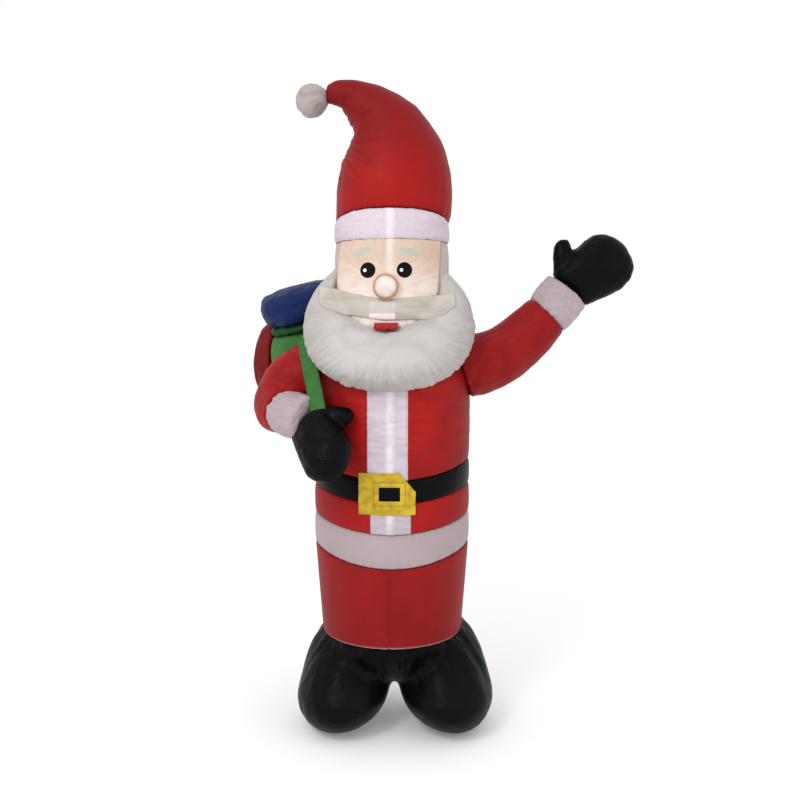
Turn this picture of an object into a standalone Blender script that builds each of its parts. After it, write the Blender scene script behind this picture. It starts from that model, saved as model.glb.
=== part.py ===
# An air-filled cloth figure that stands on two boots, waves one arm and holds the
# strap of a sack with the other. Metres, +Z up, its front towards -Y. The upright
# tube's axis is the Z axis until the last step, which puts the origin under the
# middle of the whole figure.

import math
from collections import namedtuple

import bmesh
import bpy
from mathutils import Matrix, Vector

# Clearance between two sewn sections, between soft forms that touch, and from the
# tube's faceted wall
GAP = 0.0003
SOFT_GAP = 0.0008
WALL_GAP = 0.0012

# Heights of the upright tube's sections, each on top of the one before
BOOT_HEIGHT = 0.262
SKIRT_HEIGHT = 0.260
TRIM_HEIGHT = 0.084
WAIST_HEIGHT = 0.082
BELT_WIDTH = 0.068
CHEST_HEIGHT = 0.364
HEAD_HEIGHT = 0.2325
HEADBAND_WIDTH = 0.081

# Radii of the tube
HEM_RADIUS = 0.198
BODY_RADIUS = 0.2175
HEAD_RADIUS = 0.159
HEADBAND_RADIUS = 0.1615
SEAM_PINCH = 0.004
SECTION_SWELL = 0.0015

# How far each seam hangs lower at the front than at the sides
TRIM_LOWER_SAG = 0.038
TRIM_UPPER_SAG = 0.030
BELT_LOWER_SAG = 0.031
BELT_UPPER_SAG = 0.038

# Boots: two lobes under one bag
BOOT_SPREAD = 0.292
BOOT_SHIFT_X = 0.0085
BOOT_WIDTH = 0.270
BOOT_LENGTH = 0.380
BOOT_FORWARD = 0.040
BOOT_LOBE_TOP = 0.288
BOOT_LEAN = 0.080
BOOT_SPLAY = 0.022
BOOT_SLIMNESS = 0.07
BOOT_WAIST_Z = 0.100
SOLE_DEPTH = 0.014
CROTCH_Z = 0.120

# Cloth laid into the tube's wall
PANEL_THICKNESS = 0.0025
PLACKET_WIDTH = 0.106
PLACKET_X = -0.010
PLACKET_X_WAIST = -0.002
FACE_LEFT_TOP = -63.0
FACE_LEFT_BOTTOM = -79.0
FACE_RIGHT_TOP = 58.5
FACE_RIGHT_BOTTOM = 47.0

# Buckle plate, lying on the belt
BUCKLE_WIDTH = 0.149
BUCKLE_HEIGHT = 0.110
BUCKLE_THICKNESS = 0.006
BUCKLE_X = -0.0120
BUCKLE_LIFT = -0.001
WINDOW_WIDTH = 0.056
WINDOW_HEIGHT = 0.037

# Hat and its ball
HAT_HEIGHT = 0.367
POMPOM_RADIUS = 0.0435

# Beard, moustache, nose and lip
BEARD_HALF_WIDTH = 0.2425
BEARD_DROP = 0.184
BEARD_RISE = 0.188
BEARD_THICKNESS = 0.125
MOUSTACHE_THICKNESS = 0.022
NOSE_RADIUS = 0.0365
NOSE_DEPTH = 0.050
LIP_WIDTH = 0.062
LIP_HEIGHT = 0.019
LIP_REACH = 0.052

# Arms
SHOULDER_DROP = 0.108
WAVING_SHOULDER_RADIUS = 0.100
WAVING_WRIST_RADIUS = 0.068
HOLDING_SHOULDER_RADIUS = 0.100
HOLDING_WRIST_RADIUS = 0.061
CUFF_FLARE = 0.003
CUFF_LENGTH = 0.088
HOLDING_CUFF_LENGTH = 0.095
MITTEN_LENGTH = 0.198
MITTEN_THICKNESS = 0.118

# Sack
SACK_RADIUS = 0.158
SACK_LENGTH = 0.425
SACK_MOUTH_RADIUS = 0.124
COLLAR_WIDTH = 0.026
GIFT_RADIUS = 0.141
GIFT_HEIGHT = 0.108
POUCH_HEIGHT = 0.360
POUCH_OUT = 0.062
POUCH_BACK = 0.085
POUCH_DROP = 0.112
STRAP_WIDTH = 0.042
STRAP_THICKNESS = 0.007

# A block under the floor that cuts the soles flat
GROUND_SIZE = 2.0

# Flat sides of the round forms
TUBE_SIDES = 34
LIMB_SIDES = 16
SACK_SIDES = 24

Seam = namedtuple("Seam", "z sag radius")

HEM_Z = BOOT_HEIGHT
TRIM_LOWER_Z = HEM_Z + SKIRT_HEIGHT
TRIM_UPPER_Z = TRIM_LOWER_Z + TRIM_HEIGHT
BELT_LOWER_Z = TRIM_UPPER_Z + WAIST_HEIGHT
BELT_UPPER_Z = BELT_LOWER_Z + BELT_WIDTH
NECK_Z = BELT_UPPER_Z + CHEST_HEIGHT
BROW_Z = NECK_Z + HEAD_HEIGHT
HAT_Z = BROW_Z + HEADBAND_WIDTH

HEM = Seam(HEM_Z, 0.0, HEM_RADIUS)
TRIM_LOWER = Seam(TRIM_LOWER_Z, TRIM_LOWER_SAG, BODY_RADIUS)
TRIM_UPPER = Seam(TRIM_UPPER_Z, TRIM_UPPER_SAG, BODY_RADIUS)
BELT_LOWER = Seam(BELT_LOWER_Z, BELT_LOWER_SAG, BODY_RADIUS)
BELT_UPPER = Seam(BELT_UPPER_Z, BELT_UPPER_SAG, BODY_RADIUS)
NECK = Seam(NECK_Z, 0.0, HEAD_RADIUS)

SHOULDER_Z = NECK_Z - SHOULDER_DROP


def clear_scene():
    for obj in list(bpy.data.objects):
        bpy.data.objects.remove(obj, do_unlink=True)


def new_collection(name, hidden=False):
    collection = bpy.data.collections.new(name)
    bpy.context.scene.collection.children.link(collection)
    collection.hide_render = hidden
    return collection


clear_scene()
PIECES = new_collection("waving_figure")
CUTTERS = new_collection("cutters", hidden=True)


def linear(channel):
    """One sRGB channel, 0 to 255, as the linear value that a shader takes."""
    share = channel / 255
    return share / 12.92 if share <= 0.04045 else ((share + 0.055) / 1.055) ** 2.4


def make_cloth(name, red, green, blue, roughness=0.55):
    """Coated polyester cloth in one plain colour."""
    material = bpy.data.materials.new(name)
    material.use_nodes = True
    shader = material.node_tree.nodes["Principled BSDF"]
    color = (linear(red), linear(green), linear(blue), 1.0)
    shader.inputs["Base Color"].default_value = color
    shader.inputs["Roughness"].default_value = roughness
    shader.inputs["Metallic"].default_value = 0.0
    material.diffuse_color = color
    return material


RED = make_cloth("red_cloth", 190, 32, 36)
WHITE = make_cloth("white_cloth", 222, 214, 216)
BLACK = make_cloth("black_cloth", 22, 24, 28)
SKIN = make_cloth("skin_cloth", 244, 218, 198)
GREEN = make_cloth("green_cloth", 66, 128, 62)
DARK_GREEN = make_cloth("dark_green_cloth", 36, 98, 42)
BLUE = make_cloth("blue_cloth", 36, 54, 112)
DARK_RED = make_cloth("dark_red_cloth", 142, 26, 30)
YELLOW = make_cloth("yellow_sheet", 218, 190, 46, roughness=0.4)
FLEECE = make_cloth("beard_cloth", 214, 210, 208)
GREY = make_cloth("moustache_cloth", 208, 204, 192)


def lerp(start, end, share):
    return start + (end - start) * share


def add_piece(name, mesh, material):
    """Gives a mesh its object, material and smooth shading."""
    obj = bpy.data.objects.new(name, mesh)
    PIECES.objects.link(obj)
    mesh.materials.clear()
    mesh.materials.append(material)
    mesh.shade_smooth()
    mesh.set_sharp_from_angle(angle=math.radians(45))
    return obj


def mesh_from(name, vertices, faces):
    """A mesh with its faces pointing out."""
    mesh = bpy.data.meshes.new(name)
    mesh.from_pydata(vertices, [], faces)
    shape = bmesh.new()
    shape.from_mesh(mesh)
    bmesh.ops.recalc_face_normals(shape, faces=shape.faces)
    shape.to_mesh(mesh)
    shape.free()
    return mesh


def loft(name, rings, split=False):
    """A closed skin over rings of points. A ring of one point is a pole, and a first or
    last ring of more points is closed by a flat face. When split, its lower and upper
    halves take mirrored diagonals, so that two sections' caps match at their seam."""
    vertices = [point for ring in rings for point in ring]
    starts = [0]
    for ring in rings:
        starts.append(starts[-1] + len(ring))
    faces = []
    for index in range(len(rings) - 1):
        low, high = rings[index], rings[index + 1]
        a, b = starts[index], starts[index + 1]
        for i in range(max(len(low), len(high))):
            j = i + 1
            near, far = a + i % len(low), a + j % len(low)
            over, past = b + i % len(high), b + j % len(high)
            corners = list(dict.fromkeys([near, far, past, over]))
            if not split or len(corners) == 3:
                faces.append(corners)
            elif 2 * index < len(rings) - 1:
                faces += [[near, far, past], [near, past, over]]
            else:
                faces += [[near, far, over], [far, past, over]]
    for index in (0, len(rings) - 1):
        if len(rings[index]) > 1:
            faces.append([starts[index] + i for i in range(len(rings[index]))])
    return mesh_from(name, vertices, faces)


def slab(name, place, columns, rows):
    """A closed sheet with thickness: place(across, up, side) gives its points, with
    across and up from 0 to 1 and side -1 on the inner face and 1 on the outer."""
    vertices = []
    for side in (-1, 1):
        for row in range(rows + 1):
            for column in range(columns + 1):
                vertices.append(place(column / columns, row / rows, side))
    wide = columns + 1
    layer = wide * (rows + 1)
    faces = []
    for row in range(rows):
        for column in range(columns):
            near = row * wide + column
            for a in (near, layer + near):
                faces.append([a, a + 1, a + wide])
                faces.append([a + 1, a + wide + 1, a + wide])
    bottom = list(range(wide))
    top = [rows * wide + column for column in range(wide)]
    left = [row * wide for row in range(rows + 1)]
    right = [row * wide + columns for row in range(rows + 1)]
    for edge in (bottom, top, left, right):
        for a, b in zip(edge, edge[1:]):
            faces.append([a, b, layer + b])
            faces.append([a, layer + b, layer + a])
    return mesh_from(name, vertices, faces)


def turned(name, profile, material, sides=TUBE_SIDES):
    """A round piece: the profile's points are (radius, height), from top to bottom."""
    mesh = mesh_from_edges(name, [Vector((radius, 0.0, z)) for radius, z in profile])
    obj = add_piece(name, mesh, material)
    screw = obj.modifiers.new("turn", "SCREW")
    screw.steps = sides
    screw.render_steps = sides
    screw.use_merge_vertices = True
    screw.merge_threshold = 0.0001
    bake(obj)
    return obj


def mesh_from_edges(name, points):
    mesh = bpy.data.meshes.new(name)
    mesh.from_pydata(points, [(i, i + 1) for i in range(len(points) - 1)], [])
    return mesh


def evaluated_mesh(obj):
    graph = bpy.context.evaluated_depsgraph_get()
    return bpy.data.meshes.new_from_object(obj.evaluated_get(graph))


def bake(obj):
    """Replaces an object's mesh by what its modifiers make of it."""
    bpy.context.view_layer.update()
    material = obj.data.materials[0]
    mesh = evaluated_mesh(obj)
    obj.modifiers.clear()
    obj.data = mesh
    mesh.materials.clear()
    mesh.materials.append(material)
    mesh.shade_smooth()
    mesh.set_sharp_from_angle(angle=math.radians(45))


def keep_main_body(obj):
    """Deletes the crumbs that a cut can leave beside the main body."""
    shape = bmesh.new()
    shape.from_mesh(obj.data)
    bmesh.ops.remove_doubles(shape, verts=shape.verts, dist=0.00002)
    bmesh.ops.dissolve_degenerate(shape, edges=shape.edges, dist=0.00002)
    waiting = set(shape.verts)
    bodies = []
    while waiting:
        body = {waiting.pop()}
        front = list(body)
        while front:
            vertex = front.pop()
            for edge in vertex.link_edges:
                other = edge.other_vert(vertex)
                if other in waiting:
                    waiting.discard(other)
                    body.add(other)
                    front.append(other)
        bodies.append(body)
    largest = max(bodies, key=box_volume)
    crumbs = [vertex for body in bodies if body is not largest for vertex in body]
    bmesh.ops.delete(shape, geom=crumbs, context="VERTS")
    shape.to_mesh(obj.data)
    shape.free()


def box_volume(body):
    low = [min(vertex.co[axis] for vertex in body) for axis in range(3)]
    high = [max(vertex.co[axis] for vertex in body) for axis in range(3)]
    return math.prod(top - bottom for bottom, top in zip(low, high))


def make_cutter(obj, grow):
    """A hidden copy of a piece, grown along its normals."""
    mesh = evaluated_mesh(obj)
    shape = bmesh.new()
    shape.from_mesh(mesh)
    bmesh.ops.triangulate(shape, faces=shape.faces)
    shape.normal_update()
    moves = [vertex.normal * grow for vertex in shape.verts]
    for vertex, move in zip(shape.verts, moves):
        vertex.co += move
    shape.to_mesh(mesh)
    shape.free()
    cutter = bpy.data.objects.new(obj.name + "_cutter", mesh)
    cutter.matrix_world = obj.matrix_world
    cutter.display_type = "WIRE"
    cutter.hide_render = True
    CUTTERS.objects.link(cutter)
    return cutter


def combine(obj, other, operation):
    modifier = obj.modifiers.new(operation.lower(), "BOOLEAN")
    modifier.operation = operation
    modifier.solver = "EXACT"
    modifier.object = other
    bake(obj)


def cut_by(obj, *others, clearance=SOFT_GAP):
    """Takes a piece's neighbours out of it, with the clearance between them."""
    for other in others:
        bpy.context.view_layer.update()
        cutter = make_cutter(other, clearance * 1.5)
        combine(obj, cutter, "DIFFERENCE")
        bpy.data.objects.remove(cutter, do_unlink=True)
    keep_main_body(obj)


def union(obj, other):
    bpy.context.view_layer.update()
    combine(obj, other, "UNION")
    bpy.data.objects.remove(other, do_unlink=True)


def make_ball(name, centre, radii, material, turns=16, levels=12):
    """A ball or an egg: a sphere with a radius along each axis."""
    mesh = bpy.data.meshes.new(name)
    shape = bmesh.new()
    bmesh.ops.create_uvsphere(shape, u_segments=turns, v_segments=levels, radius=1.0)
    bmesh.ops.scale(shape, vec=radii, verts=shape.verts)
    shape.to_mesh(mesh)
    shape.free()
    obj = add_piece(name, mesh, material)
    obj.location = centre
    return obj


def make_box(name, centre, size, material):
    mesh = bpy.data.meshes.new(name)
    shape = bmesh.new()
    bmesh.ops.create_cube(shape, size=1.0)
    bmesh.ops.scale(shape, vec=size, verts=shape.verts)
    shape.to_mesh(mesh)
    shape.free()
    obj = add_piece(name, mesh, material)
    obj.location = centre
    return obj


# The upright tube


def around(angle, radius, z):
    """A point on the tube. The angle is 0 at the front and grows towards +X."""
    return Vector((radius * math.sin(angle), -radius * math.cos(angle), z))


def seam_height(seam, x, y):
    """A seam's height where it passes over (x, y). It hangs lowest at the front."""
    forward = max(0.0, -y) / seam.radius
    return seam.z - seam.sag * min(1.0, forward) ** 2


def seam_rings(seam, lift):
    """The rings of a cap, from its middle outwards, on the seam's own curved surface."""
    shares = (0.0, 0.5) if seam.sag else ()
    rings = []
    for share in shares:
        if share == 0.0:
            rings.append([Vector((0.0, 0.0, seam.z + lift))])
            continue
        ring = []
        for side in range(TUBE_SIDES):
            point = around(math.tau * side / TUBE_SIDES, seam.radius * share, 0.0)
            point.z = seam_height(seam, point.x, point.y) + lift
            ring.append(point)
        rings.append(ring)
    return rings


def tube_section(name, low, high, profile, material):
    """One sewn section of the tube. The profile's points are (share of the height,
    radius), from the lower seam to the upper one."""
    rings = seam_rings(low, GAP / 2)
    for share, radius in profile:
        ring = []
        for side in range(TUBE_SIDES):
            point = around(math.tau * side / TUBE_SIDES, radius, 0.0)
            seam_low = seam_height(low, *(point * low.radius / radius).xy) + GAP / 2
            seam_high = seam_height(high, *(point * high.radius / radius).xy) - GAP / 2
            point.z = lerp(seam_low, seam_high, share)
            ring.append(point)
        rings.append(ring)
    rings.extend(reversed(seam_rings(high, -GAP / 2)))
    return add_piece(name, loft(name, rings, split=True), material)


def straight_profile(low, high, bulge):
    """Cloth between two seams swells a little at its middle."""
    shares = (0.0, 0.5, 1.0)
    return [
        (share, lerp(low.radius, high.radius, share) + bulge * math.sin(math.pi * share))
        for share in shares
    ]


def make_coat():
    skirt = tube_section(
        "coat_skirt", HEM, TRIM_LOWER, straight_profile(HEM, TRIM_LOWER, 0.0), RED
    )
    trim = tube_section(
        "trim_band",
        TRIM_LOWER,
        TRIM_UPPER,
        straight_profile(TRIM_LOWER, TRIM_UPPER, SECTION_SWELL),
        WHITE,
    )
    waist = tube_section(
        "coat_waist",
        TRIM_UPPER,
        BELT_LOWER,
        straight_profile(TRIM_UPPER, BELT_LOWER, SECTION_SWELL),
        RED,
    )
    belt = tube_section(
        "belt",
        BELT_LOWER,
        BELT_UPPER,
        straight_profile(BELT_LOWER, BELT_UPPER, SECTION_SWELL),
        BLACK,
    )
    chest = tube_section("coat_chest", BELT_UPPER, NECK, chest_profile(), RED)
    return skirt, trim, waist, belt, chest


def chest_profile():
    """Upright to the arms, then round shoulders that narrow to the neck."""
    shoulder_step = BODY_RADIUS - HEAD_RADIUS
    shares = ((0.0, 1.0), (0.2, 1.035), (0.42, 1.045), (0.6, 0.98), (0.76, 0.77), (0.89, 0.42))
    profile = [(share, HEAD_RADIUS + shoulder_step * width) for share, width in shares]
    profile.append((1.0, HEAD_RADIUS))
    return profile


def profile_radius(profile, share):
    """A section's radius at a share of its height, read between its profile's points."""
    for (low, low_radius), (high, high_radius) in zip(profile, profile[1:]):
        if share <= high:
            return lerp(low_radius, high_radius, (share - low) / (high - low))
    return profile[-1][1]


def make_placket(name, low, high, reach, profile, middle, grow):
    """A strip let into the coat's front, flush with it, from the lower seam to a share
    of the way to the upper one. With a growth it is the cutter that makes its place."""
    half = PLACKET_WIDTH / 2 + grow

    def place(across, up, side):
        x = middle + lerp(-half, half, across)
        angle = math.asin(x / BODY_RADIUS)
        bottom = seam_height(low, *around(angle, low.radius, 0.0).xy)
        top = seam_height(high, *around(angle, high.radius, 0.0).xy)
        start = bottom + WALL_GAP - 6 * grow
        end = lerp(bottom, top, reach) - WALL_GAP + 6 * grow
        z = lerp(start, end, up)
        radius = profile_radius(profile, (z - bottom) / (top - bottom))
        if side > 0:
            radius += 8 * grow
        else:
            radius -= PANEL_THICKNESS + grow
        return around(angle, radius, z)

    return add_piece(name, slab(name, place, 4, 6), WHITE)


def inlay(host, maker):
    """Makes a strip with maker(grow, name) and its place in the host."""
    cutter = maker(GAP, "cutter")
    combine(host, cutter, "DIFFERENCE")
    bpy.data.objects.remove(cutter, do_unlink=True)
    keep_main_body(host)
    return maker(0.0, None)


def keep_whole(obj):
    """A hidden copy of a tube section as it is before cloth is let into it. What lies
    on the section is cut by this plainer form."""
    copy = bpy.data.objects.new(obj.name + "_whole", evaluated_mesh(obj))
    copy.display_type = "WIRE"
    copy.hide_render = True
    CUTTERS.objects.link(copy)
    return copy


def make_plackets(chest, waist):
    inlay(
        chest,
        lambda grow, name: make_placket(
            name or "placket_chest", BELT_UPPER, NECK, 0.7, chest_profile(), PLACKET_X, grow
        ),
    )
    waist_profile = straight_profile(TRIM_UPPER, BELT_LOWER, SECTION_SWELL)
    inlay(
        waist,
        lambda grow, name: make_placket(
            name or "placket_waist",
            TRIM_UPPER,
            BELT_LOWER,
            1.0,
            waist_profile,
            PLACKET_X_WAIST,
            grow,
        ),
    )


def make_buckle():
    """A soft yellow plate that follows the belt, with one clipped upper corner and a
    square window."""
    belt_middle = BELT_LOWER_Z + BELT_WIDTH / 2 - (BELT_LOWER_SAG + BELT_UPPER_SAG) / 2
    middle_z = belt_middle + BUCKLE_LIFT
    half_width = BUCKLE_WIDTH / 2
    clip = 0.28

    def place(across, up, side):
        x = BUCKLE_X + lerp(-half_width, half_width, across)
        from_corner = max(0.0, across - (1.0 - clip)) / clip
        top = BUCKLE_HEIGHT / 2 * (1.0 - 0.9 * from_corner)
        radius = BODY_RADIUS + SECTION_SWELL + GAP + (BUCKLE_THICKNESS if side > 0 else 0.0)
        z = middle_z + lerp(-BUCKLE_HEIGHT / 2, top, up)
        angle = math.asin(x / radius)
        return around(angle, radius, z)

    buckle = add_piece("buckle", slab("buckle", place, 14, 2), YELLOW)
    window = make_box(
        "window",
        (BUCKLE_X + 0.007, -BODY_RADIUS, middle_z),
        (WINDOW_WIDTH, 0.1, WINDOW_HEIGHT),
        YELLOW,
    )
    bpy.context.view_layer.update()
    combine(buckle, window, "DIFFERENCE")
    bpy.data.objects.remove(window, do_unlink=True)
    return buckle


def make_boots():
    """Two lobes grown together under the hem, on flat soles. The voxel skin joins the
    lobes with a soft valley, as one sewn bag has."""
    parts = []
    for side in (-1, 1):
        lobe = make_ball(
            "lobe",
            (side * BOOT_SPREAD / 2 + BOOT_SHIFT_X, -BOOT_FORWARD, BOOT_WAIST_Z),
            (1.0, 1.0, 1.0),
            BLACK,
            turns=32,
            levels=20,
        )
        for vertex in lobe.data.vertices:
            leg = 1.0 - BOOT_SLIMNESS * math.sin(math.pi * max(0.0, vertex.co.z))
            vertex.co.x *= BOOT_WIDTH / 2 * leg
            vertex.co.y *= BOOT_LENGTH / 2 * leg
            rise = BOOT_LOBE_TOP - BOOT_WAIST_Z
            fall = BOOT_WAIST_Z + SOLE_DEPTH
            vertex.co.x += side * BOOT_SPLAY * max(0.0, -vertex.co.z)
            vertex.co.y += BOOT_LEAN * max(0.0, vertex.co.z)
            vertex.co.z *= rise if vertex.co.z > 0 else fall
        parts.append(lobe)
    bag = make_ball(
        "bag",
        (0.0, 0.0, HEM_Z + 0.02),
        (HEM_RADIUS, HEM_RADIUS, HEM_Z + 0.02 - CROTCH_Z),
        BLACK,
        turns=32,
        levels=20,
    )
    parts.append(bag)
    boots = parts[0]
    boots.name = "boots"
    for part in parts[1:]:
        union(boots, part)
    remesh = boots.modifiers.new("skin", "REMESH")
    remesh.mode = "VOXEL"
    remesh.voxel_size = 0.012
    smooth = boots.modifiers.new("soften", "SMOOTH")
    smooth.factor = 0.5
    smooth.iterations = 8
    decimate = boots.modifiers.new("thin", "DECIMATE")
    decimate.ratio = 0.06
    bake(boots)
    ground = make_box("ground", (0.0, 0.0, -GROUND_SIZE / 4), (GROUND_SIZE, GROUND_SIZE, GROUND_SIZE / 2), BLACK)
    bpy.context.view_layer.update()
    combine(boots, ground, "DIFFERENCE")
    bpy.data.objects.remove(ground, do_unlink=True)
    return boots


# Head and hat


PINCH_START = 0.85


def head_radius(z):
    """Upright, and pinched where the headband's seam draws it in."""
    share = (z - NECK_Z) / HEAD_HEIGHT
    return HEAD_RADIUS - SEAM_PINCH * max(0.0, (share - PINCH_START) / (1.0 - PINCH_START))


def make_head():
    heights = [lerp(NECK_Z, BROW_Z, share) for share in (1.0, PINCH_START, 0.0)]
    heights[0] -= GAP / 2
    heights[-1] += GAP / 2
    profile = [(0.0, heights[0])]
    profile += [(head_radius(z), z) for z in heights]
    profile.append((0.0, heights[-1]))
    return turned("head", profile, WHITE)


def make_face_panel(name, grow):
    bottom = NECK_Z + 0.01
    pinch = lerp(NECK_Z, BROW_Z, PINCH_START)
    top = BROW_Z - GAP / 2
    levels = [bottom - grow, (bottom + pinch) / 2, pinch, top + 3 * grow]

    def place(across, up, side):
        z = levels[round(up * (len(levels) - 1))]
        share = (z - bottom) / (top - bottom)
        margin = grow / HEAD_RADIUS
        left = math.radians(lerp(FACE_LEFT_BOTTOM, FACE_LEFT_TOP, share)) - margin
        right = math.radians(lerp(FACE_RIGHT_BOTTOM, FACE_RIGHT_TOP, share)) + margin
        radius = head_radius(z)
        if side > 0:
            radius += 8 * grow
        else:
            radius -= PANEL_THICKNESS + grow
        return around(lerp(left, right, across), radius, z)

    return add_piece(name, slab(name, place, 12, len(levels) - 1), SKIN)


def make_headband():
    low = HEAD_RADIUS - SEAM_PINCH
    high = HEADBAND_RADIUS - SEAM_PINCH
    profile = [
        (0.0, HAT_Z - GAP / 2),
        (high, HAT_Z - GAP / 2),
        (HEADBAND_RADIUS, HAT_Z - 0.2 * HEADBAND_WIDTH),
        (HEADBAND_RADIUS, HAT_Z - 0.5 * HEADBAND_WIDTH),
        (HEADBAND_RADIUS - 0.001, BROW_Z + 0.22 * HEADBAND_WIDTH),
        (low, BROW_Z + GAP / 2),
        (0.0, BROW_Z + GAP / 2),
    ]
    return turned("headband", profile, WHITE)


# The hat's sections: middle (x, height), half width and lean in degrees, as shares of
# the hat's height from its seam. It rises straight and then bends over to -X.
HAT_SECTIONS = (
    (0.014, 0.06, 0.441, 0.0),
    (0.020, 0.185, 0.444, 0.0),
    (0.021, 0.30, 0.431, 0.5),
    (0.023, 0.39, 0.406, 1.0),
    (0.028, 0.47, 0.378, 2.0),
    (0.025, 0.54, 0.347, 3.3),
    (-0.002, 0.64, 0.292, 8.4),
    (-0.050, 0.717, 0.256, 19.0),
    (-0.130, 0.781, 0.219, 28.9),
    (-0.215, 0.842, 0.173, 41.8),
    (-0.330, 0.898, 0.117, 62.7),
    (-0.428, 0.908, 0.096, 80.0),
    (-0.497, 0.889, 0.068, 89.6),
)
HAT_SIDES = 24


def make_hat():
    rings = [
        [
            around(math.tau * side / HAT_SIDES, HEADBAND_RADIUS - SEAM_PINCH, HAT_Z + GAP / 2)
            for side in range(HAT_SIDES)
        ]
    ]
    for x, up, half, lean in HAT_SECTIONS:
        middle = Vector((x * HAT_HEIGHT, 0.0, HAT_Z + up * HAT_HEIGHT))
        turn = Matrix.Rotation(-math.radians(lean), 3, "Y")
        ring = []
        for side in range(HAT_SIDES):
            spoke = around(math.tau * side / HAT_SIDES, half * HAT_HEIGHT, 0.0)
            ring.append(middle + turn @ spoke)
        rings.append(ring)
    return add_piece("hat", loft("hat", rings), RED)


def make_pompom(hat):
    middle = (-0.617 * HAT_HEIGHT, 0.0, HAT_Z + 0.848 * HAT_HEIGHT)
    pompom = make_ball("pompom", middle, [POMPOM_RADIUS] * 3, WHITE, turns=16, levels=10)
    cut_by(pompom, hat)
    return pompom


# Beard, moustache, nose and lip

FACE_X = -0.012
BEARD_MIDDLE_Z = NECK_Z + 0.010
BEARD_REACH = math.radians(138)
BEARD_TEMPLE_SHARE = 0.687
BEARD_INNER_WIDTH = HEAD_RADIUS - 0.012
BEARD_INNER_Z = NECK_Z + 0.148
BEARD_INNER_DROP = 0.136
BEARD_TEMPLE_FULLNESS = 0.16
BEARD_FRONT_SHARE = 1.25


def squared(value, power=0.87):
    """Pushes a sine or cosine outwards, which makes a circle slightly square."""
    return math.copysign(abs(value) ** power, value)


def beard_edges(angle):
    """The beard's inner and outer edge at an angle from straight down, as (x, z). Below
    its middle the outer edge is half a squared oval, and above it tapers to the temples."""
    middle_x = FACE_X + 0.0045
    if abs(angle) < math.pi / 2:
        outer = (
            middle_x + BEARD_HALF_WIDTH * squared(math.sin(angle)),
            BEARD_MIDDLE_Z - BEARD_DROP * squared(math.cos(angle)),
        )
        inner = (
            FACE_X + BEARD_INNER_WIDTH * math.sin(angle),
            BEARD_INNER_Z - BEARD_INNER_DROP * math.cos(angle),
        )
        return inner, outer
    rise = (abs(angle) - math.pi / 2) / (BEARD_REACH - math.pi / 2)
    width = BEARD_HALF_WIDTH * lerp(1.0, BEARD_TEMPLE_SHARE, rise**1.5)
    top = BEARD_MIDDLE_Z + BEARD_RISE
    outer = (middle_x + math.copysign(width, angle), lerp(BEARD_MIDDLE_Z, top, rise))
    inner = (
        FACE_X + math.copysign(BEARD_INNER_WIDTH - 0.004 * rise, angle),
        lerp(BEARD_INNER_Z, top - 0.012, rise),
    )
    return inner, outer


def beard_point(across, up, side):
    angle = lerp(-BEARD_REACH, BEARD_REACH, across)
    inner, outer = beard_edges(angle)
    turn = (1.0 - math.cos(angle * math.pi / BEARD_REACH)) / 2
    inner_radius = HEAD_RADIUS - 0.008
    inner_y = -math.sqrt(max(0.0004, inner_radius**2 - inner[0] ** 2))
    outer_y = -(BODY_RADIUS + 0.018) + 0.205 * turn
    x = lerp(inner[0], outer[0], up)
    z = lerp(inner[1], outer[1], up)
    y = lerp(inner_y, outer_y, up)
    swell = max(0.0, 1.0 - (2.0 * up - 1.0) ** 2) ** 0.6
    fullness = lerp(1.0, BEARD_TEMPLE_FULLNESS, turn**1.3)
    half = BEARD_THICKNESS / 2 * swell * fullness + 0.002
    share = BEARD_FRONT_SHARE if side > 0 else BEARD_FRONT_SHARE - 2.0
    return Vector((x, y - half * share, z))


def make_beard():
    return add_piece("beard", slab("beard", beard_point, 22, 5), FLEECE)


def moustache_point(across, up, side):
    """A flat pad from cheek to cheek, widest beside the nose."""
    spread = 2.0 * across - 1.0
    angle = math.radians(-4.0 + 62.0 * spread)
    droop = abs(spread) ** 1.6
    top = NECK_Z + 0.076 + 0.018 * abs(spread) - 0.012 * spread
    low = NECK_Z + 0.019 + 0.034 * abs(spread) ** 2.4 - 0.004 * spread
    z = lerp(low, top, up)
    swell = max(0.0, 1.0 - (2.0 * up - 1.0) ** 2) ** 0.5
    ends = max(0.1, 1.0 - spread**8) ** 0.5
    base = HEAD_RADIUS + 0.002 + 0.030 * droop
    half = MOUSTACHE_THICKNESS / 2 * swell * ends + 0.0025
    return around(angle, base + half + half * side, z)


def make_moustache():
    return add_piece("moustache", slab("moustache", moustache_point, 14, 4), GREY)


def make_nose():
    angle = math.asin(-0.0135 / HEAD_RADIUS)
    place = around(angle, HEAD_RADIUS + 0.008, NECK_Z + 0.107)
    radii = (NOSE_RADIUS, NOSE_DEPTH / 2, NOSE_RADIUS)
    return make_ball("nose", place, radii, SKIN, turns=16, levels=8)


def lip_point(across, up, side):
    """A small tongue of cloth that leans out of the mouth over the beard."""
    x = FACE_X - 0.002 + lerp(-0.5, 0.5, across) * LIP_WIDTH
    y = -(HEAD_RADIUS + 0.001) - LIP_REACH * up
    z = NECK_Z + 0.006 - (LIP_HEIGHT - 0.006) * up**2
    return Vector((x, y, z + 0.003 * side))


def make_lip():
    return add_piece("lip", slab("lip", lip_point, 6, 3), RED)


# Arms

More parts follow.
